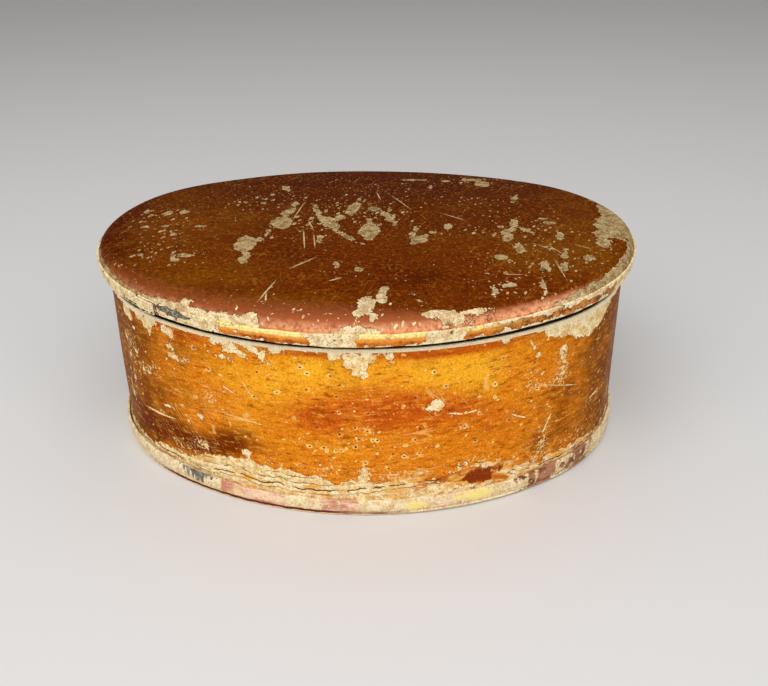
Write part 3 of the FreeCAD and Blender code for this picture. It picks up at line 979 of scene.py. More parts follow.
# %% Model the lid's top
DENT = 0.05 * MM
bm = new_mesh()
outside = crown_side(0, 56, 12)
start = stand(bm, outside + crown_side(sheet, 12, 5)[::-1], end_turn, closed=False)
sweep(bm, start, end_turn, end_turn + FULL)
close_seam(bm)
for height in (top_high.z, top_high.z - sheet):
    middle = fill_loop(bm, height)
    middle += [edge for edge in middle[0].edges] + [vert for vert in middle[0].verts]
    for axis, reach in ((0, 18 * MM), (1, 9 * MM)):
        for cut in rows(-reach, reach, round(2 * reach / STEP)):
            where = Vector((0, 0, height))
            where[axis] = cut
            across = Vector((0, 0, 0))
            across[axis] = 1
            parted = bmesh.ops.bisect_plane(bm, geom=middle, plane_co=where, plane_no=across)
            middle = parted["geom"]
for vert in bm.verts:
    x, y = vert.co.x / MM, vert.co.y / MM
    vert.co.z += DENT * (math.sin(x / 6.5 + y / 9) + math.sin(y / 5.5 - x / 12))
spring(bm)
lid_top = make_piece(
    bm, "lid_top", "lid", lid_fields(lambda v: rim_line / MM - v), seam=False
)

# %% [markdown]
# ## The lid's rim
# The rim is a narrow band with its ends lapped at the left front. It stands outside the turned
# edge, and it flares a little, as a band does that was stretched over the lid. Its wear is
# listed first: where it is bare, where it is grey metal, and where it stands open.

# %% Lay out the rim's wear
RIM_WEAR = [
    (-140, 0.1), (-90, -0.3), (-60, -1.2), (-24, -1.2), (-20, 0.3), (-14, 0.6), (-7, 0.6),
    (-5, -0.8), (0.5, -0.8), (2, 0.6), (11, 0.5), (12.5, -0.8), (16.5, -0.8), (18, 0.6),
    (44, 0.5), (52, -0.4), (60, -0.5), (100, 0.0), (140, 0.1),
]
RIM_CREAM = [
    (-140, 39), (14, 39), (18, 36.0), (24, 35.6), (34, 35.2), (46, 34.9), (60, 34.8), (90, 36),
    (140, 39),
]
RIM_LOWER_EDGE = [(-140, 0.2), (0, 0.1), (25, 0.3), (140, 0.3)]


def rim_bare(x, y, z, s, v):
    """The distance to the nearest bare tin on the rim, negative on it."""
    lower_edge = v - rim_low.z / MM - edge_line(s, RIM_LOWER_EDGE)
    kept = np.minimum(edge_line(s, RIM_WEAR), edge_line(s, RIM_CREAM) - v)
    return MM * np.minimum(kept, lower_edge)


RIM_TIN = [(-30.0, 35.4, 2.2, 0.7, 1.2), (-27.6, 35.0, 1.4, 0.4, 0.9), (-65, 35.2, 2.6, 0.7, 1.6)]
# Open slots in the rim, painted dark as shade by the finish.
RIM_SHADED_SLOTS = [(-64.5, 35.4, 1.6, 0.5), (-37.5, 34.0, 4.2, 0.14), (-33.0, 35.2, 0.16, 1.1)]
RIM_FIELDS = {
    "bare": rim_bare,
    "tinned": lambda x, y, z, s, v: clouds(s, v, RIM_TIN),
    "slot": lambda x, y, z, s, v: MM * spots(s, v, RIM_SHADED_SLOTS),
}
print(f"{len(RIM_TIN)} grey patches and {len(RIM_SHADED_SLOTS)} open slots on the rim")

# %% [markdown]
# ### Bending the rim
# The band is swept like the wall, with its lap at the left front. Its edges wander a little,
# and then it takes the lid's bend.

# %% Model the rim
RIM_LAP_AT = 235.0
LID_LAP = 4 * MM
bm = new_mesh()
around = bm.verts.layers.float["along"]
rim_section = strip_section(
    rim_out + sheet, rim_low.z, rim_high.z, sheet, rows(rim_low.z, rim_high.z, 10),
    flare=rim_flare, rounding=0.22 * MM,
)
lapped(bm, rim_section, RIM_LAP_AT, LID_LAP, lap_step)
for vert in bm.verts:
    share = (vert.co.z - rim_low.z) / (rim_high.z - rim_low.z)
    vert.co.z += MM * 0.07 * (2 * share - 1) * uneven(vert[around], 5)
spring(bm)
lid_rim = make_piece(bm, "lid_rim", "lid", RIM_FIELDS)

# %% [markdown]
# ## The lid's solder
# Three thin films hold the lid together: in the rim's lap, between rim and top, and in the
# plug's lap. A film keeps the section that the sheets leave for it.

# %% Model the films of solder
def film(low, high, offset, at, lap, flare=0):
    """A film of solder in a lap: its bottom, its top and its inner offset."""
    bm = new_mesh()
    start = at - turn_for(at, lap) / 2
    section = [(offset, low), (offset + solder_film, low)]
    section += [(offset + solder_film + flare, high), (offset + flare, high)]
    first = stand(bm, section, start)
    cap(bm, sweep(bm, first, start, start + turn_for(at, lap)))
    cap(bm, first)
    spring(bm)
    return bm


bm = film(rim_low.z, rim_high.z, rim_out + sheet, RIM_LAP_AT, LID_LAP, rim_flare)
rim_lap_solder = make_piece(bm, "rim_lap_solder", "lid")
plug_offset = plug_high.x - half_length
bm = film(plug_low.z, plug_high.z, plug_offset - lap_step, FRONT, LID_LAP)
plug_lap_solder = make_piece(bm, "plug_lap_solder", "lid")

# %% [markdown]
# ### Solder behind the rim
# The solder behind the rim's upper edge runs all the way round and makes a small fillet up to
# the shoulder, under the lacquer. At the far left it has broken out, and a dark slot is left.

# %% Model the rim's solder
bm = new_mesh()
around = bm.verts.layers.float["along"]
seam_low = band_low.z
seam_high = band_high.z


def rim_inner(height):
    """The offset of the rim's inner face at a height."""
    return rim_out + rim_flare * (height - rim_low.z) / (rim_high.z - rim_low.z)


seam_section = [(rim_inner(height), height) for height in (seam_low, rim_high.z)]
seam_section += bend((rim_inner(rim_high.z) - 0.5 * MM, rim_high.z), 0.5 * MM, 20, 60, 3)
seam_section += [(rim_inner(height) - solder_film, height) for height in (rim_high.z, seam_low)]
sweep(bm, stand(bm, seam_section, end_turn), end_turn, end_turn + FULL)
for vert in bm.verts:
    if vert.co.z > seam_high:
        where = from_front(vert[around])
        vert.co.z -= MM * 1.2 * hump(where, -66 * MM, 6 * MM)
        vert.co.z += MM * 0.04 * uneven(vert[around], 6)
spring(bm)
lid_rim_solder = make_piece(
    bm, "lid_rim_solder", "lid", lid_fields(lambda v: 0.4 + 0 * v)
)

# %% [markdown]
# ## The plug
# A plain strip under the lid slides into the mouth and holds the lid in place. Its ends lap on
# the inside, so that its outer face stays smooth, and a fillet of solder joins it to the top.

# %% Model the plug and its fillet
bm = new_mesh()
plug_heights = rows(plug_low.z, plug_high.z, 16)
plug_section = strip_section(plug_offset, plug_low.z, plug_high.z, sheet, plug_heights)
lapped(bm, plug_section, FRONT, LID_LAP, -lap_step)
spring(bm)
lid_plug = make_piece(bm, "lid_plug", "lid")

bm = new_mesh()
fillet_at = fillet_high.x - half_length
fillet_reach = 0.8 * MM
fillet_section = [(fillet_at, fillet_low.z), (fillet_at, fillet_high.z)]
fillet_section += [(fillet_at - fillet_reach, fillet_high.z)]
fillet_section += bend(
    (fillet_at - fillet_reach, fillet_high.z - fillet_reach), 0.55 * fillet_reach, 80, 10, 4
)
sweep(bm, stand(bm, fillet_section, end_turn), end_turn, end_turn + FULL, 1.0 * MM)
spring(bm)
lid_plug_solder = make_piece(bm, "lid_plug_solder", "lid")

# %% [markdown]
# ## Colours as a picker shows them
# A colour picker shows a colour from 0 to 255 on a curved scale, and a shader wants it linear.
# The numbers could be converted once and pasted in, but then nobody could read them, so every
# colour of this box goes through one small function.

# %% Name a colour
def pigment(red, green, blue):
    """A colour as a picker shows it, from 0 to 255, in the linear values a shader wants."""
    linear = []
    for value in (red, green, blue):
        share = value / 255
        linear.append(share / 12.92 if share < 0.04 else ((share + 0.055) / 1.055) ** 2.4)
    return (*linear, 1.0)


print("thin amber lacquer is", [round(value, 3) for value in pigment(222, 126, 22)])

# %% [markdown]
# ## A helper for finishes
# Every finish is a node material. Written out node by node, a worn lacquer would fill pages,
# so a helper puts down one node per call and links whatever it is given. It starts with the
# shader, the place on the box in metres, the strip's own map, and plain sums.

# %% Put down nodes and sums
class Sums:
    """A node material, built one plain call at a time: its shader, places and sums."""

    def __init__(self, name, specular):
        self.material = bpy.data.materials.new(name)
        self.material.use_nodes = True
        self.nodes = self.material.node_tree.nodes
        self.links = self.material.node_tree.links
        self.shader = self.nodes["Principled BSDF"]
        self.shader.inputs["Specular IOR Level"].default_value = specular
        self.place = self.node("ShaderNodeTexCoord").outputs["Object"]
        self.wrap = self.node("ShaderNodeUVMap", uv_map="wrap").outputs["UV"]

    def put(self, socket, value):
        """Links a socket, or sets it when the value is a plain one."""
        if isinstance(value, bpy.types.NodeSocket):
            self.links.new(value, socket)
        else:
            socket.default_value = value

    def node(self, kind, *values, **settings):
        made = self.nodes.new(kind)
        for key, value in settings.items():
            setattr(made, key, value)
        for socket, value in zip(made.inputs, values):
            self.put(socket, value)
        return made

    def math(self, operation, *values):
        return self.node("ShaderNodeMath", *values, operation=operation).outputs[0]

    def plus(self, first, second):
        return self.math("ADD", first, second)

    def times(self, first, second):
        return self.math("MULTIPLY", first, second)

    def least(self, first, second):
        return self.math("MINIMUM", first, second)

    def most(self, first, second):
        return self.math("MAXIMUM", first, second)

    def field(self, name):
        """A piece's own number per vertex."""
        return self.node("ShaderNodeAttribute", attribute_name=name).outputs["Fac"]

    def part(self, vector, axis):
        return self.node("ShaderNodeSeparateXYZ", vector).outputs[axis]


print("sums:", [name for name in vars(Sums) if not name.startswith("_")])

# %% [markdown]
# ### Noise at a real size
# All lengths are real lengths on the box, because a pattern at the wrong scale looks like a
# toy. Noise can be drawn out along a direction, as the grain of rolled tin is, and it can
# shake a distance so that its edge is torn.

# %% Add noise to the helper
class Noises(Sums):
    """Sums, with noise at real sizes."""

    def noise(self, size, detail=2.0, roughness=0.5, vector=None):
        made = self.node("ShaderNodeTexNoise")
        self.put(made.inputs["Vector"], vector or self.place)
        made.inputs["Scale"].default_value = 1 / size
        made.inputs["Detail"].default_value = detail
        made.inputs["Roughness"].default_value = roughness
        return made.outputs[0]

    def wobble(self, size, amount, detail=2.0):
        """Noise that swings by about an amount to either side of zero."""
        return self.math("MULTIPLY_ADD", self.noise(size, detail), 4 * amount, -2 * amount)

    def shaken(self, value, size, amount, detail=2.0):
        """A value that noise of a size moves by about an amount."""
        return self.plus(value, self.wobble(size, amount, detail))

    def drawn(self, turn, stretch, vector=None):
        """A vector that draws every pattern out along a direction in its first two axes."""
        made = self.node("ShaderNodeMapping", vector or self.place, vector_type="TEXTURE")
        made.inputs["Rotation"].default_value = (0, 0, turn)
        made.inputs["Scale"].default_value = (stretch, 1, 1)
        return made.outputs[0]


print("noises:", [name for name in vars(Noises) if not name.startswith("_")])

# %% [markdown]
# ### Specks and strokes
# A speck is a cell of a Voronoi pattern with a random radius, and a stroke is a length of space
# squeezed to a unit circle. Both give a distance, as the chips do, so that all of them can be
# joined by taking the least.

# %% Add specks and strokes to the helper
class Marks(Noises):
    """Noises, with specks and strokes as distances."""

    def specks(self, size, share, largest, vector=None):
        """The distance to specks of mixed sizes, one in a share of the cells of a pattern."""
        made = self.node("ShaderNodeTexVoronoi", voronoi_dimensions="2D")
        self.put(made.inputs["Vector"], vector or self.place)
        made.inputs["Scale"].default_value = 1 / size
        chance = self.node("ShaderNodeSeparateColor", made.outputs["Color"]).outputs[0]
        radius = self.math("MULTIPLY_ADD", chance, -largest / share, largest)
        return self.math("SUBTRACT", self.times(made.outputs["Distance"], size), radius)

    def stroke(self, vector, start, end, half_width):
        """The distance to a thin pointed stroke between two places given in mm."""
        run = (end[0] - start[0], end[1] - start[1])
        made = self.node("ShaderNodeMapping", vector, vector_type="TEXTURE")
        made.inputs["Location"].default_value = (
            MM * (start[0] + end[0]) / 2, MM * (start[1] + end[1]) / 2, 0
        )
        made.inputs["Rotation"].default_value = (0, 0, math.atan2(run[1], run[0]))
        made.inputs["Scale"].default_value = (
            MM * math.hypot(*run) / 2, MM * half_width, 1000.0
        )
        measure = self.node("ShaderNodeVectorMath", made.outputs[0], operation="LENGTH")
        reach = measure.outputs["Value"]
        return self.math("MULTIPLY_ADD", reach, MM * half_width, -MM * half_width)

    def strokes(self, vector, marks):
        """The distance to the nearest of some strokes: two places and a half width in mm."""
        nearest = 1.0
        for start_across, start_up, end_across, end_up, half_width in marks:
            start = (start_across, start_up)
            end = (end_across, end_up)
            nearest = self.least(self.stroke(vector, start, end, half_width), nearest)
        return nearest


print("marks:", [name for name in vars(Marks) if not name.startswith("_")])

# %% [markdown]
# ### Steps, mixes and the shader
# A smooth step turns a distance into a share between 0 and 1, crisp or soft as wanted, and a
# mix lays one colour over another by that share. At the end the results are linked to the
# shader. The relief goes through a bump node with a real height, so it is as deep as it says.

# %% Complete the helper
class Finish(Marks):
    """The whole helper: a finish from its first node to its shader."""

    def step(self, value, low, high):
        """Zero at a low value, one at a high one, and smooth between."""
        made = self.node("ShaderNodeMapRange", interpolation_type="SMOOTHSTEP")
        for name, wanted in (("Value", value), ("From Min", low), ("From Max", high)):
            self.put(made.inputs[name], wanted)
        return made.outputs[0]

    def within(self, distance, soft):
        """One inside a distance's edge and zero outside, softened by a length."""
        return self.step(distance, soft, -soft)

    def mix(self, factor, first, second, mode="MIX"):
        """The second colour over the first, by a share."""
        made = self.node("ShaderNodeMix", data_type="RGBA", blend_type=mode)
        for index, value in ((0, factor), (6, first), (7, second)):
            self.put(made.inputs[index], value)
        return made.outputs[2]

    def between(self, factor, first, second):
        """A number that goes from a first to a second value."""
        return self.math("MULTIPLY_ADD", factor, second - first, first)

    def finish(self, colour, metal, roughness, height):
        """Links the results; the height is a real one, in metres."""
        self.put(self.shader.inputs["Base Color"], colour)
        self.put(self.shader.inputs["Metallic"], metal)
        self.put(self.shader.inputs["Roughness"], roughness)
        bump = self.node("ShaderNodeBump")
        bump.inputs["Strength"].default_value = 1.0
        bump.inputs["Distance"].default_value = 1.0
        self.put(bump.inputs["Height"], height)
        self.put(self.shader.inputs["Normal"], bump.outputs[0])
        print(f"{self.material.name}: {len(self.nodes)} nodes")
        return self.material


def dress(piece, material):
    """Gives a piece, new or from the model, one material."""
    piece.data.materials.clear()
    piece.data.materials.append(material)


print("a finish ends with:", [name for name in vars(Finish) if not name.startswith("_")])

# %% [markdown]
# ## Bare tin
# Where the lacquer is gone, the tin is not bright: it is a dull beige crust with fine dark
# specks of rust in it. The same crust shows in every chip, so it is made once, as a colour and
# a height that each lacquer mixes in.

# %% Make the crust in the chips
def crust(finish, pale, deep, lump=0.0, stain=(112, 80, 46)):
    """The colour and the height of dull bare tin, lumpy where solder was smeared on it."""
    cloud = finish.noise(1.4 * MM, 5.0, 0.72)
    colour = finish.mix(finish.step(cloud, 0.40, 0.58), deep, pale)
    grain = finish.noise(0.32 * MM, 3.0, 0.7)
    colour = finish.mix(finish.step(grain, 0.47, 0.30), colour, pigment(*stain))
    # The palest specks sit on the raised grain and are a painted highlight.
    colour = finish.mix(finish.step(grain, 0.56, 0.74), colour, pigment(255, 248, 218))
    height = finish.times(grain, 0.05 * MM)
    if lump:
        height = finish.shaken(height, 0.9 * MM, lump, 3.0)
    return colour, height


def chip_height(finish, bare, depth, crust_height):
    """A surface that drops by the lacquer's depth where it is bare, and is rough there."""
    return finish.plus(finish.times(bare, -depth), finish.times(bare, crust_height))


print("the crust's rust is", [round(value, 3) for value in pigment(112, 80, 46)])

# %% [markdown]
# ### The lacquer's grain, torn edges and scratches
# Lacquer over tin shows the tin's grain, lighter and darker all over. Where it lets go it tears,
# coarsely and finely at once. Crumbs of it fall out in clusters, and cloths leave fine parallel
# scratches that come and go. Each is a short recipe that takes the helper and gives a share, a
# distance or a colour.

# %% Make grain, tears, crumbs and scratches
SCRATCH_EDGE = (0.012, 0.004)


def shimmer(finish, colour, size, depth):
    """The fine grain that tin under lacquer shows: a little lighter and darker all over."""
    grain = finish.noise(size, 3.0, 0.65)
    return finish.mix(1.0, colour, finish.between(grain, 1 - depth, 1 + depth), "MULTIPLY")


def ragged(finish, distance):
    """A distance with its edge torn, coarsely and finely."""
    torn = finish.shaken(distance, 1.5 * MM, 0.55 * MM, 5.0)
    return finish.shaken(torn, 0.34 * MM, 0.20 * MM, 3.0)


def crumbs(finish, field, size, largest, turn, stretch):
    """Crumbs of lost lacquer, all drawn out one way, only where a field is high."""
    grown = finish.specks(size, 0.5, largest, finish.drawn(turn, stretch))
    return finish.math("MULTIPLY_ADD", field, -largest, finish.plus(grown, largest))


def scratches(finish, vector, size, turn, stretch, share):
    """Fine parallel scratches that come and go: one on a scratch, zero off it."""
    lines = finish.noise(size, 0.0, 0.5, finish.drawn(turn, stretch, vector))
    lines = finish.math("ABSOLUTE", finish.math("SUBTRACT", lines, 0.5))
    shown = finish.step(finish.noise(7 * MM, 3.0), 1 - share, 1.06 - share)
    return finish.times(finish.step(lines, *SCRATCH_EDGE), shown)


print("recipes: grain, torn edges, crumbs and scratches")

# %% [markdown]
# ## The lid's lacquer
# The top has the thickest lacquer: dark brown, maroon at the left and towards the front, and
# olive gold at the right where it has worn thin. On the rolled shoulder a rosy sheen is painted
# in as a reflection. One brown would look like paint, so it is built up from its clouds, flecks
# and grain.

# %% Colour the lid's lacquer
finish = Finish("lid_brown_lacquer", 0.002)
toward = finish.part(finish.place, 1)
lid_tone = finish.mix(
    finish.step(finish.shaken(toward, 10 * MM, 8 * MM), 34 * MM, -26 * MM),
    pigment(76, 27, 1), pigment(103, 42, 3),
)
drift = finish.wobble(5 * MM, 0.4, 4.0)
for name, colour in (("maroon", pigment(72, 18, 2)), ("gold", pigment(116, 62, 5))):
    share = finish.plus(finish.field(name), drift)
    lid_tone = finish.mix(finish.step(share, 0.1, 1.4), lid_tone, colour)
fleck = finish.noise(0.75 * MM, 4.0, 0.75)
light = finish.times(finish.step(fleck, 0.52, 0.66), 0.75)
lid_tone = finish.mix(light, lid_tone, pigment(154, 86, 8))
dark = finish.times(finish.step(fleck, 0.46, 0.32), 0.75)
lid_tone = finish.mix(dark, lid_tone, pigment(54, 16, 1))
lid_tone = shimmer(finish, lid_tone, 0.35 * MM, 0.85)
print(f"the lid's lacquer takes {len(finish.nodes)} nodes so far")

# %% [markdown]
# ### The shoulder's sheen and nicks
# On the roll a rosy sheen is painted in as a reflection, with a painted pale highlight along its
# middle. There is an orange line above the rim, and small bright dashes where nails have nicked
# it.

# %% Paint the sheen on the lid's shoulder and nick it
# Painted reflection: a rosy sheen on the shoulder, and a pale painted highlight along its middle.
lid_tone = finish.mix(finish.field("rosy"), lid_tone, pigment(178, 96, 58))
painted_gleam = finish.times(finish.field("glare"), finish.step(fleck, 0.30, 0.62))
lid_tone = finish.mix(painted_gleam, lid_tone, pigment(246, 178, 130))
lid_tone = finish.mix(finish.field("seam"), lid_tone, pigment(222, 118, 56))
dashes = crumbs(finish, finish.field("rosy"), 1.1 * MM, 0.18 * MM, 0.5, 2.4)
lid_tone = finish.mix(finish.within(dashes, 0.03 * MM), lid_tone, pigment(252, 212, 166))
print(f"with the shoulder it takes {len(finish.nodes)} nodes")

# %% [markdown]
# ### The lid's chips and scratches
# The listed chips get torn edges. Crumbs of three sizes fill the clusters, and the deepest
# scratches, which go down to the tin, are listed by their two ends. All are distances, so the
# least of them is the distance to any bare tin.

# %% Chip the lid
LID_STROKES = [
    (-11.5, -21.6, -8.0, -17.1, 0.2), (-4.5, -26.6, -2.6, -25.3, 0.2),
    (-13.4, -27.0, -15.0, -33.6, 0.14), (-14.2, -31.4, -13.9, -34.0, 0.14),
    (24.0, -23.8, 27.3, -23.9, 0.14), (21.0, -23.4, 21.9, -23.5, 0.12),
    (30.3, -25.2, 30.6, -30.0, 0.14), (-13.2, 13.0, -14.2, 2.0, 0.12),
    (-11.2, 2.0, -9.6, -3.4, 0.14), (-11.4, -4.0, -10.2, -12.6, 0.14),
    (-9.2, -6.6, -8.4, -12.0, 0.12), (1.2, 20.0, 2.2, 14.6, 0.12),
    (4.6, 17.0, 8.2, 9.0, 0.12), (14.6, 6.0, 18.8, 2.0, 0.14),
    (31.0, -11.0, 33.6, -13.6, 0.1), (33.0, -11.4, 35.4, -16.0, 0.1),
    (37.8, -11.0, 40.4, -13.0, 0.1), (33.4, -18.4, 34.2, -25.0, 0.1),
]
crumb = finish.field("crumbs")
chips = ragged(finish, finish.field("bare"))
outline = finish.step(chips, 0.26 * MM, 0.05 * MM)
chips = finish.least(chips, crumbs(finish, crumb, 2.1 * MM, 0.40 * MM, 1.3, 1.9))
small = crumbs(finish, crumb, 1.3 * MM, 0.24 * MM, 1.2, 2.4)
small = finish.least(small, finish.specks(1.6 * MM, 0.12, 0.14 * MM))
small = finish.least(small, crumbs(finish, crumb, 0.9 * MM, 0.16 * MM, 2.2, 2.0))
small = finish.shaken(small, 0.25 * MM, 0.05 * MM)
marks = finish.shaken(finish.strokes(finish.place, LID_STROKES), 0.4 * MM, 0.04 * MM)
chips = finish.least(chips, finish.least(small, marks))
bare = finish.within(chips, 0.04 * MM)
print(f"{len(LID_STROKES)} deep scratches, and {len(finish.nodes)} nodes so far")

# %% [markdown]
# ### The lid's finish put together
# Each chip has a dark line round it, where the lacquer's edge stands up, and a paler line
# inside. The crust is greyer on top and paler towards the front. The lid is dark inside. Lacquer
# on beaten tin has a soft gloss, and bare tin has none.

# %% Finish the lid's top
lid_tone = finish.mix(finish.times(outline, 0.6), lid_tone, pigment(56, 20, 2))
thread = finish.most(
    scratches(finish, finish.place, 1.6 * MM, 1.2, 14.0, 0.52),
    scratches(finish, finish.place, 1.3 * MM, 1.9, 9.0, 0.5),
)
lid_tone = finish.mix(finish.times(thread, 0.4), lid_tone, pigment(164, 102, 30))
front = finish.step(toward, -24 * MM, -36 * MM)
pale = finish.mix(front, pigment(184, 158, 108), pigment(240, 216, 170))
deep = finish.mix(front, pigment(134, 100, 56), pigment(200, 166, 116))
crust_colour, crust_height = crust(finish, pale, deep)
inner_line = finish.times(finish.step(chips, -0.16 * MM, -0.05 * MM), 0.45)
crust_colour = finish.mix(inner_line, crust_colour, pigment(222, 194, 142))
lid_colour = finish.mix(bare, lid_tone, crust_colour)
lid_colour = finish.mix(finish.field("inside"), lid_colour, pigment(70, 50, 30))
lid_height = chip_height(finish, bare, 0.05 * MM, crust_height)
lid_lacquer = finish.finish(
    lid_colour,
    finish.between(bare, 0.02, 0.0),
    finish.shaken(finish.between(bare, 0.36, 0.75), 4 * MM, 0.04),
    finish.shaken(lid_height, 0.8 * MM, 0.010 * MM, 3.0),
)
dress(lid_top, lid_lacquer)

# %% [markdown]
# ## The wall's lacquer
# On the wall the same lacquer is thinner, so it is amber over the tin. It is painted yellow as a
# highlight under the lid, it is dark brown at the lower left, and it is painted browner round the
# ends as shade. Its flecks are drawn out round the wall, the way the strip was rolled.

# %% Colour the wall's lacquer
finish = Finish("wall_amber_lacquer", 0.006)
here = finish.part(finish.wrap, 0)
rise = finish.part(finish.wrap, 1)
brushed = finish.drawn(0.0, 3.0, finish.wrap)
drift = finish.wobble(6 * MM, 0.4, 4.0)
wall_tone = pigment(222, 126, 22)
# glow is a painted highlight, and ends is painted shade towards both ends.
for name, colour in (
    ("glow", pigment(250, 174, 38)), ("red", pigment(200, 88, 18)),
    ("ends", pigment(128, 66, 6)), ("dark", pigment(112, 42, 4)),
):
    share = finish.plus(finish.field(name), drift)
    wall_tone = finish.mix(finish.step(share, 0.1, 1.3), wall_tone, colour)
fleck = finish.noise(0.8 * MM, 4.0, 0.75, brushed)
light = finish.times(finish.step(fleck, 0.52, 0.66), 0.5)
wall_tone = finish.mix(light, wall_tone, pigment(250, 180, 58))
dark = finish.times(finish.step(fleck, 0.47, 0.33), 0.75)
wall_tone = finish.mix(dark, wall_tone, pigment(124, 50, 4))
wall_tone = shimmer(finish, wall_tone, 0.34 * MM, 0.75)
print(f"the wall's lacquer takes {len(finish.nodes)} nodes so far")

# %% [markdown]
# ### Flakes and fine scratches on the wall
# Thin flakes have lifted off the lacquer without baring the tin, and fine scratches run along
# the wall and steeply down it.

# %% Flake and scratch the wall
flakes = finish.specks(1.8 * MM, 0.4, 0.2 * MM, finish.drawn(0.3, 1.6, finish.wrap))
flakes = finish.shaken(flakes, 0.35 * MM, 0.06 * MM)
flaked = finish.step(flakes, 0.02 * MM, -0.05 * MM)
wall_tone = finish.mix(flaked, wall_tone, pigment(250, 208, 130))
thread = finish.most(
    scratches(finish, finish.wrap, 1.8 * MM, -0.95, 14.0, 0.46),
    scratches(finish, finish.wrap, 1.5 * MM, 0.10, 16.0, 0.5),
)
wall_tone = finish.mix(finish.times(thread, 0.5), wall_tone, pigment(250, 200, 112))
print(f"with flakes and scratches it takes {len(finish.nodes)} nodes")

# %% [markdown]
# ### The wall's chips, scuffs and deep scratches
# Near the foot the edge of the smear wanders more than a chip's edge does. A scuff isn't a
# chip: there the lacquer is only broken up, so it shows where a fine noise is high and its
# cloud raises it further.

# %% Chip and scuff the wall
WALL_STROKES = [
    (-42.8, 11.8, -34.8, 12.4, 0.2), (15.2, 19.2, 18.0, 18.6, 0.16),
    (18.0, 18.6, 20.6, 19.0, 0.14), (26.8, 16.6, 29.8, 15.1, 0.12),
    (35.2, 14.2, 33.8, 10.8, 0.18), (33.9, 8.0, 32.0, 5.6, 0.14),
    (45.7, 12.9, 49.8, 13.4, 0.18), (8.6, 8.1, 12.8, 8.2, 0.12), (4.4, 8.2, 7.2, 8.0, 0.14),
    (-18.8, 24.2, -17.4, 21.6, 0.1), (29.6, 29.8, 30.4, 28.4, 0.12),
    (-22.6, 22.4, -20.4, 21.4, 0.1), (33.0, 20.6, 41.0, 18.0, 0.07),
    (-24.0, 17.2, -15.5, 16.4, 0.08),
]
foot = finish.step(rise, 10 * MM, 8.6 * MM)
foot_edge = finish.wobble(2.2 * MM, 0.8 * MM, 4.0)
chips = ragged(finish, finish.math("MULTIPLY_ADD", foot, foot_edge, finish.field("bare")))
scuff = finish.noise(0.55 * MM, 3.0, 0.75)
scuff = finish.plus(scuff, finish.times(finish.field("scuffs"), 0.17))
scuffed = finish.step(scuff, 0.66, 0.71)
marks = finish.shaken(finish.strokes(finish.wrap, WALL_STROKES), 0.4 * MM, 0.05 * MM)
print(f"{len(WALL_STROKES)} deep scratches, and {len(finish.nodes)} nodes so far")

# %% [markdown]
# ### Pinholes of rust
# Rust has come through the lacquer in pinholes, each a dark dot in a pale ring. The largest
# are listed, and smaller ones are scattered where the wall is pitted. Noise breaks the rings,
# because even ones would look printed.

# %% Pit the wall
WALL_PITS = [
    (-15.9, 26.4), (-12.6, 23.2), (-16.8, 21.6), (-8.5, 28.2), (-7.6, 24.2), (-7.4, 27.2),
    (-3.6, 27.0), (-2.2, 25.4), (-2.8, 23.2), (-25.2, 25.0), (-6.2, 17.2), (2.2, 20.2),
    (2.0, 16.8), (3.6, 15.0), (0.6, 15.2), (9.8, 14.8), (-7.6, 13.4), (-5.2, 13.4),
    (-3.2, 13.0), (6.2, 12.2), (8.0, 11.6), (-9.6, 9.4), (-8.6, 9.0), (-4.2, 9.0),
    (1.6, 10.6), (5.4, 9.4), (12.8, 27.2), (24.7, 27.8), (9.8, 22.8), (23.4, 23.2),
    (30.8, 25.5), (30.2, 21.8), (31.8, 20.2), (20.2, 13.0), (26.4, 15.6), (18.2, 16.2),
    (10.6, 16.9), (14.8, 24.4),
]
PIT_HALF_LENGTH = 0.24
PIT_HALF_HEIGHT = 0.18
pits = 1.0
for place_along, place_up in WALL_PITS:
    pit_start = (place_along - PIT_HALF_LENGTH, place_up)
    pit_end = (place_along + PIT_HALF_LENGTH, place_up)
    pit = finish.stroke(finish.wrap, pit_start, pit_end, PIT_HALF_HEIGHT)
    pits = finish.least(pits, pit)
more_pits = finish.plus(finish.specks(2.6 * MM, 0.4, 0.24 * MM, finish.wrap), 0.2 * MM)
more_pits = finish.math("MULTIPLY_ADD", finish.field("pitted"), -0.2 * MM, more_pits)
pits = finish.shaken(finish.least(pits, more_pits), 0.3 * MM, 0.07 * MM, 3.0)
core = finish.step(pits, -0.01 * MM, -0.08 * MM)
ring = finish.step(finish.shaken(pits, 0.7 * MM, 0.30 * MM, 3.0), 0.32 * MM, 0.12 * MM)
halo = finish.times(ring, finish.step(finish.noise(2.4 * MM, 2.0), 0.36, 0.66))
print(f"{len(WALL_PITS)} listed pinholes, and {len(finish.nodes)} nodes so far")

# %% [markdown]
# ### The wall's bare tin
# Chips, deep scratches and the thin edge of the mouth are bare. In the smear at the foot the
# crust is streaked with cream, gold and brown, and just under the mouth it is painted palest, as
# light against the shade of the lid's rim.

# %% Bare the wall
MOUTH_BARE = (31.08 * MM, 31.2 * MM)
MOUTH_LIGHTENED = (30.4 * MM, 31.1 * MM)
bare = finish.most(finish.within(chips, 0.05 * MM), finish.within(marks, 0.03 * MM))
bare = finish.most(bare, finish.step(rise, *MOUTH_BARE))
outline = finish.times(finish.step(chips, 0.30 * MM, 0.05 * MM), 0.55)
crust_colour, crust_height = crust(
    finish, pigment(255, 236, 184), pigment(234, 190, 118), 0.08 * MM, (160, 104, 52)
)
streaks = finish.noise(1.5 * MM, 4.0, 0.65, brushed)
cream = finish.mix(finish.step(streaks, 0.50, 0.66), crust_colour, pigment(236, 166, 62))
cream = finish.mix(finish.step(streaks, 0.43, 0.35), cream, pigment(200, 136, 88))
crust_colour = finish.mix(foot, crust_colour, cream)
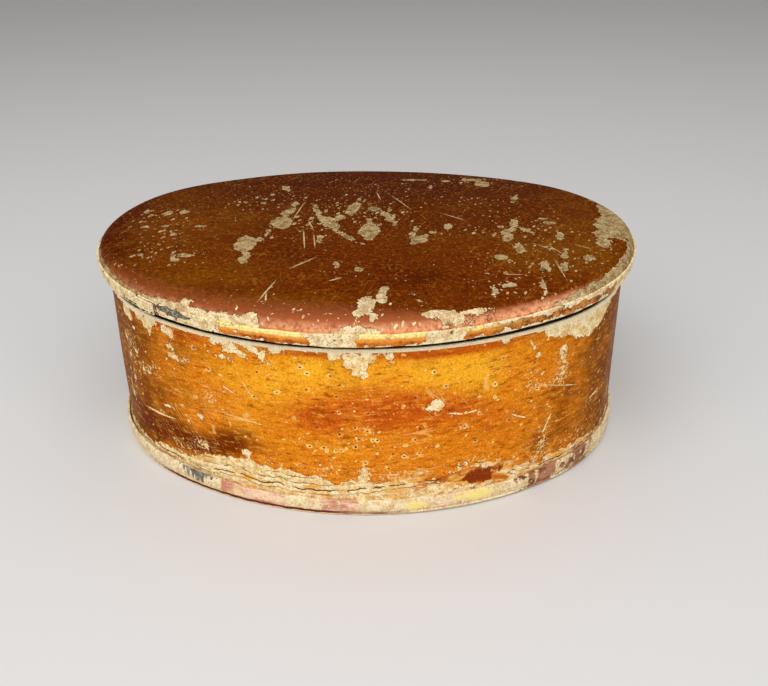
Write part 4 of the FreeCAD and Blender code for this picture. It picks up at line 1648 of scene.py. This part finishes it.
# Painted light: the crust just under the mouth is lightened where the lid's rim shades it.
painted_mouth_light = finish.times(finish.step(rise, *MOUTH_LIGHTENED), 0.7)
crust_colour = finish.mix(painted_mouth_light, crust_colour, pigment(255, 238, 200))
print(f"the crust is bare from {MOUTH_BARE[1] / MM:.1f} mm up the wall")

# %% [markdown]
# ### Cracks in the smear
# Four wavy cracks run through the smear, one below the other, and break off here and there.
# Each is the same line at its own height, because the smear shrank in layers. They are sunk a
# little, and their dark brown is painted shade.

# %% Crack the foot
CRACKS = [(1.15, 0.11), (2.3, 0.09), (-0.75, 0.08)]
depth = finish.shaken(finish.field("crack"), 1.8 * MM, 0.30 * MM, 3.0)
crack = finish.step(finish.math("ABSOLUTE", depth), 0.18 * MM, 0.06 * MM)
for above, half in CRACKS:
    line = finish.math("ABSOLUTE", finish.math("SUBTRACT", depth, above * MM))
    crack = finish.most(crack, finish.step(line, half * MM, 0.02 * MM))
crack = finish.times(crack, finish.step(finish.noise(3.0 * MM, 3.0), 0.42, 0.52))
crack = finish.times(crack, foot)
# Painted shade: the cracks are coloured dark brown.
crust_colour = finish.mix(crack, crust_colour, pigment(104, 56, 20))
print(f"{len(CRACKS) + 1} cracks, and {len(finish.nodes)} nodes so far")

# %% [markdown]
# ### Old paint over the lacquer
# At the front the smear thins out into streaks of brown, gold and cream paint, which lie on
# the lacquer and hide most of it, and a dark red stain shows under the ridge at the right.

# %% Smear the foot
smeared = finish.step(rise, 7.8 * MM, 6.6 * MM)
smeared = finish.times(smeared, finish.step(here, -3 * MM, 2 * MM))
smeared = finish.times(smeared, finish.step(here, 31 * MM, 26 * MM))
smears = finish.noise(1.9 * MM, 4.0, 0.7, brushed)
smear = finish.mix(finish.step(smears, 0.42, 0.52), pigment(190, 100, 34), pigment(242, 184, 88))
smear = finish.mix(finish.step(smears, 0.53, 0.60), smear, pigment(254, 232, 176))
stained = finish.shaken(finish.field("red"), 1.4 * MM, 0.5, 4.0)
smear = finish.mix(finish.step(stained, 0.8, 1.1), smear, pigment(124, 46, 16))
wall_colour = finish.mix(finish.times(smeared, 0.85), wall_tone, smear)
print(f"with the smear the wall takes {len(finish.nodes)} nodes")

# %% [markdown]
# ### The wall's finish put together
# The layers go on in the order in which they happened: lacquer, smear, the dark line round a
# chip, scuffs, rings of rust, bare tin and last the dark pinholes. Over the mouth's edge the
# inside begins, which is plain dull tin.

# %% Finish the wall
INSIDE_FROM = (32.1 * MM, 32.2 * MM)
scuff_share = finish.times(scuffed, 0.85)
wall_colour = finish.mix(outline, wall_colour, pigment(140, 58, 12))
wall_colour = finish.mix(scuff_share, wall_colour, pigment(244, 214, 152))
wall_colour = finish.mix(halo, wall_colour, pigment(252, 212, 126))
wall_colour = finish.mix(bare, wall_colour, crust_colour)
wall_colour = finish.mix(core, wall_colour, pigment(70, 30, 10))
inside = finish.step(rise, *INSIDE_FROM)
wall_colour = finish.mix(inside, wall_colour, pigment(118, 108, 92))
worn = finish.most(bare, finish.most(halo, scuffed))
sunk = finish.within(chips, 0.05 * MM)
wall_height = finish.times(sunk, finish.plus(crust_height, -0.04 * MM))
wall_height = finish.math("MULTIPLY_ADD", crack, -0.06 * MM, wall_height)
wall_lacquer = finish.finish(
    wall_colour,
    finish.between(worn, 0.04, 0.0),
    finish.shaken(finish.between(worn, 0.34, 0.75), 4 * MM, 0.04),
    finish.shaken(wall_height, 0.9 * MM, 0.010 * MM, 3.0),
)
dress(body_wall, wall_lacquer)

# %% [markdown]
# ## The rim's lacquer
# The rim is rubbed most, because the lid is lifted by it. The front keeps an orange lacquer,
# painted lighter above its lowest part and with a yellow highlight along its rolled upper edge,
# and towards the right end it turns brown with pale specks.

# %% Colour the rim's lacquer
finish = Finish("rim_amber_lacquer", 0.02)
here = finish.part(finish.wrap, 0)
rise = finish.part(finish.wrap, 1)
mottle = finish.step(finish.noise(3 * MM, 4.0, 0.65), 0.38, 0.62)
rim_tone = finish.mix(mottle, pigment(150, 64, 20), pigment(220, 122, 40))
level = finish.shaken(rise, 1.5 * MM, 0.2 * MM)
# Painted light: lighter orange above the rim's lowest part, and a yellow highlight along its
# rolled upper edge.
for low, high, colour in (
    (rim_low.z + 0.6 * MM, rim_low.z + 1.2 * MM, pigment(236, 156, 66)),
    (rim_high.z - 0.85 * MM, rim_high.z - 0.5 * MM, pigment(255, 230, 146)),
):
    rim_tone = finish.mix(finish.step(level, low, high), rim_tone, colour)
specked = finish.step(finish.noise(1.6 * MM, 4.0, 0.7), 0.42, 0.6)
brown = finish.mix(specked, pigment(134, 70, 24), pigment(206, 136, 66))
rim_tone = finish.mix(finish.step(here, 18 * MM, 30 * MM), rim_tone, brown)
rim_tone = shimmer(finish, rim_tone, 0.4 * MM, 0.6)
print(f"the rim's lacquer takes {len(finish.nodes)} nodes so far")

# %% [markdown]
# ### The rim's wear
# The left part is bare, with beige patches in the lacquer elsewhere. At the lap grey metal
# shows, and where the band stands open there are slots, which are sunk a little and painted dark
# as shade. The rim's inner face is painted dark as shade too.

# %% Finish the rim
chips = ragged(finish, finish.shaken(finish.field("bare"), 1.6 * MM, 0.6 * MM, 4.0))
bare = finish.within(chips, 0.05 * MM)
outline = finish.times(finish.step(chips, 0.30 * MM, 0.05 * MM), 0.5)
rim_tone = finish.mix(outline, rim_tone, pigment(130, 62, 26))
crust_colour, crust_height = crust(
    finish, pigment(252, 232, 186), pigment(224, 190, 134), 0.03 * MM, (150, 106, 62)
)
tinned = finish.shaken(finish.field("tinned"), 1.2 * MM, 0.5, 3.0)
crust_colour = finish.mix(finish.step(tinned, 0.45, 0.25), pigment(96, 78, 60), crust_colour)
metal_grain = finish.step(finish.noise(0.5 * MM, 3.0, 0.7), 0.38, 0.62)
metal_tone = finish.mix(metal_grain, pigment(88, 82, 74), pigment(168, 158, 138))
crust_colour = finish.mix(finish.step(tinned, 0.5, 0.7), crust_colour, metal_tone)
# Painted shade: the open slots are coloured nearly black.
slot = finish.step(finish.shaken(finish.field("slot"), 0.6 * MM, 0.12 * MM), 0.08 * MM, -0.04 * MM)
rim_colour = finish.mix(bare, rim_tone, crust_colour)
rim_colour = finish.mix(slot, rim_colour, pigment(44, 32, 26))
# Painted shade: the rim's inner face is coloured dark brown.
behind = finish.step(rise, rim_high.z + 0.28 * MM, rim_high.z + 0.38 * MM)
rim_colour = finish.mix(behind, rim_colour, pigment(48, 32, 20))
rim_height = chip_height(finish, bare, 0.04 * MM, crust_height)
rim_lacquer = finish.finish(
    rim_colour,
    finish.between(bare, 0.10, 0.0),
    finish.between(bare, 0.34, 0.72),
    finish.plus(rim_height, finish.times(slot, -0.15 * MM)),
)
dress(lid_rim, rim_lacquer)

# %% [markdown]
# ## The base's lacquer
# The bent-up edge stands on the table and is worn nearly everywhere. The lacquer that is left
# on its roll is rosy at the front and dusty brown towards the right end.

# %% Colour the base's lacquer
finish = Finish("base_worn_lacquer", 0.04)
here = finish.part(finish.wrap, 0)
rise = finish.field("height")
streaks = finish.noise(2.6 * MM, 4.0, 0.65, finish.drawn(0.0, 2.5, finish.wrap))
base_tone = finish.mix(
    finish.step(streaks, 0.40, 0.60), pigment(204, 138, 108), pigment(250, 214, 180)
)
dusty = finish.mix(
    finish.step(streaks, 0.40, 0.60), pigment(122, 76, 50), pigment(190, 134, 100)
)
base_tone = finish.mix(finish.step(here, 24 * MM, 30 * MM), base_tone, dusty)
base_tone = shimmer(finish, base_tone, 0.45 * MM, 0.5)
print(f"the base's lacquer takes {len(finish.nodes)} nodes so far")

# %% [markdown]
# ### The base's wear
# The edge is crusted with a few yellow smears, and near the top of the roll the yellow is partly
# a painted highlight. The hollow under the roll is painted dark as shade, and the lowest line,
# which slides on tables, is rubbed bright.

# %% Finish the base
torn_bare = finish.shaken(finish.field("bare"), 1.4 * MM, 0.8 * MM, 5.0)
bare = finish.within(ragged(finish, torn_bare), 0.06 * MM)
crust_colour, crust_height = crust(
    finish, pigment(250, 230, 188), pigment(224, 192, 142), 0.03 * MM, (176, 134, 88)
)
yellow = finish.shaken(finish.field("yellow"), 1.5 * MM, 0.4, 3.0)
base_colour = finish.mix(bare, base_tone, crust_colour)
base_colour = finish.mix(finish.step(yellow, 0.35, 1.0), base_colour, pigment(250, 228, 140))
torn = finish.shaken(rise, 1.5 * MM, 0.12 * MM)
# Painted shade: the hollow under the roll is coloured dark brown.
hollow_shade = finish.times(
    finish.step(torn, 0.98 * MM, 0.80 * MM),
    finish.step(finish.shaken(here, 6 * MM, 7 * MM), 10 * MM, -4 * MM),
)
hollow_shade = finish.times(hollow_shade, finish.step(here, -46 * MM, -34 * MM))
base_colour = finish.mix(hollow_shade, base_colour, pigment(98, 42, 16))
low = finish.mix(
    finish.step(here, 4 * MM, 14 * MM), pigment(250, 216, 176), pigment(196, 182, 146)
)
base_colour = finish.mix(finish.step(torn, 0.52 * MM, 0.44 * MM), base_colour, low)
base_lacquer = finish.finish(
    base_colour,
    finish.between(bare, 0.15, 0.0),
    finish.between(bare, 0.36, 0.72),
    chip_height(finish, bare, 0.04 * MM, crust_height),
)
dress(base_plate, base_lacquer)

# %% [markdown]
# ## Plain tin
# The plug was never lacquered: its tin has gone grey and stained. Close under the lid it is
# painted black, as the shade in the gap between lid and wall. A metal finish with a drawn grain
# does for it.

# %% Finish the tin
finish = Finish("dull_tin", 0.5)
stain = finish.noise(5 * MM, 4.0, 0.6)
tin_colour = finish.mix(
    finish.step(stain, 0.35, 0.7), pigment(150, 142, 126), pigment(104, 88, 66)
)
# Painted shade: the plug is black close under the lid, where the gap is in shade.
gap_shade = finish.step(finish.part(finish.place, 2), 30.4 * MM, 31.2 * MM)
tin_colour = finish.mix(gap_shade, tin_colour, pigment(40, 28, 18))
drawn = finish.noise(0.6 * MM, 3.0, 0.6)
inner_tin = finish.finish(
    tin_colour,
    finish.times(finish.between(stain, 0.9, 0.5), finish.between(gap_shade, 1.0, 0.1)),
    finish.between(drawn, 0.3, 0.6),
    finish.times(drawn, 0.02 * MM),
)
dress(lid_plug, inner_tin)

# %% [markdown]
# ## Solder
# Solder is a duller, bluer grey than tin, lumpy under the finger, with a little brown in its
# hollows. In the groove at the foot most of it is covered by the same crust as the tin, and
# only the cold lump shows grey. The solder at the rim lies under the lid's lacquer.

# %% Finish the solder
def solder_finish(name, crusted):
    """Dull lumpy solder; with crusted, only the lump at the left front shows grey."""
    finish = Finish(name, 0.5)
    lumps = finish.noise(0.9 * MM, 3.0, 0.6)
    colour = finish.mix(
        finish.step(lumps, 0.35, 0.65), pigment(92, 82, 68), pigment(168, 162, 146)
    )
    metal = finish.between(lumps, 0.1, 0.4)
    if crusted:
        here = finish.shaken(finish.part(finish.wrap, 0), 3 * MM, 2 * MM)
        grey = finish.math("ABSOLUTE", finish.plus(here, -LUMP_AT))
        covered = finish.step(grey, 5.2 * MM, 6.4 * MM)
        pale = crust(finish, pigment(244, 220, 166), pigment(204, 172, 116))[0]
        colour = finish.mix(covered, colour, pale)
        metal = finish.times(metal, finish.between(covered, 1.0, 0.0))
    return finish.finish(
        colour, metal, finish.between(lumps, 0.65, 0.45), finish.times(lumps, 0.2 * MM)
    )


solder = solder_finish("soft_solder", False)
dress(base_seam_solder, solder_finish("crusted_solder", True))
dress(lid_rim_solder, lid_lacquer)
for bead in (rim_lap_solder, plug_lap_solder, lid_plug_solder):
    dress(bead, solder)
dress(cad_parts["wall_lap_solder"], solder)

# %% [markdown] ## The floor The box stands on a plain pale sheet of paper that runs far back.

# %% Lay the paper
bm = bmesh.new()
bmesh.ops.create_grid(bm, x_segments=1, y_segments=1, size=6.0)
paper_mesh = bpy.data.meshes.new("paper")
bm.to_mesh(paper_mesh)
bm.free()
paper = bpy.data.objects.new("paper", paper_mesh)
bpy.context.scene.collection.objects.link(paper)
paper_material = bpy.data.materials.new("paper")
paper_material.use_nodes = True
paper_shader = paper_material.node_tree.nodes["Principled BSDF"]
paper_shader.inputs["Base Color"].default_value = (0.72, 0.71, 0.70, 1)
paper_shader.inputs["Roughness"].default_value = 0.9
paper_shader.inputs["Specular IOR Level"].default_value = 0.1
dress(paper, paper_material)
print("the paper is", [round(value, 1) for value in paper.dimensions], "m")

# %% [markdown]
# ## The light
# The light is that of a small studio: an even sky, and three large soft lamps that stand half a
# metre off. Their levels are set so that white paper would come out just below white.

# %% Light the box
SKY_LEVEL = 0.35
world = bpy.data.worlds.new("even_sky")
bpy.context.scene.world = world
world.use_nodes = True
world.node_tree.nodes["Background"].inputs["Color"].default_value = (1, 1, 1, 1)
world.node_tree.nodes["Background"].inputs["Strength"].default_value = SKY_LEVEL

LAMP_DISTANCE = 0.55
TARGET = Vector((0, 0, 0.02))
for name, azimuth, elevation, size, level in (
    ("front_left", 240, 45, 0.40, 0.50),
    ("front_right", 298, 42, 0.40, 0.40),
    ("above", 90, 78, 0.50, 0.12),
):
    lamp = bpy.data.lights.new(name, "AREA")
    lamp.size = size
    lamp.energy = level * math.pi ** 2 * LAMP_DISTANCE ** 2
    turn = math.radians(azimuth)
    tilt = math.radians(elevation)
    toward_lamp = Vector(
        (math.cos(turn) * math.cos(tilt), math.sin(turn) * math.cos(tilt), math.sin(tilt))
    )
    holder = bpy.data.objects.new(name, lamp)
    holder.location = TARGET + toward_lamp * LAMP_DISTANCE
    holder.rotation_euler = toward_lamp.to_track_quat("Z", "Y").to_euler()
    bpy.context.scene.collection.objects.link(holder)
    print(f"{name}: {lamp.energy:.2f} W over {size} m")

# %% [markdown]
# ## The camera
# The camera looks down at the front from close by, as a person does who has just put the box
# on a table. The colours are shown plainly, with no film curve.

# %% Place the camera
CAMERA_PLACE = Vector((10.15, -161.17, 95.85)) * MM
CAMERA_DOWN = 0.475
CAMERA_YAW = 0.043
CAMERA_ROLL = -0.011
view = bpy.data.cameras.new("camera")
view.lens = 41.90
view.sensor_width = 36
view.clip_start = 0.01
camera = bpy.data.objects.new("camera", view)
camera.matrix_world = (
    Matrix.Translation(CAMERA_PLACE)
    @ Matrix.Rotation(CAMERA_YAW, 4, "Z")
    @ Matrix.Rotation(math.pi / 2 - CAMERA_DOWN, 4, "X")
    @ Matrix.Rotation(CAMERA_ROLL, 4, "Z")
)
bpy.context.scene.collection.objects.link(camera)
bpy.context.scene.camera = camera
bpy.context.scene.view_settings.view_transform = "Standard"
print(f"the camera stands {CAMERA_PLACE.length / MM:.0f} mm from the box")

# %% [markdown]
# ## The size
# The dressed box has to stay the size of the model.
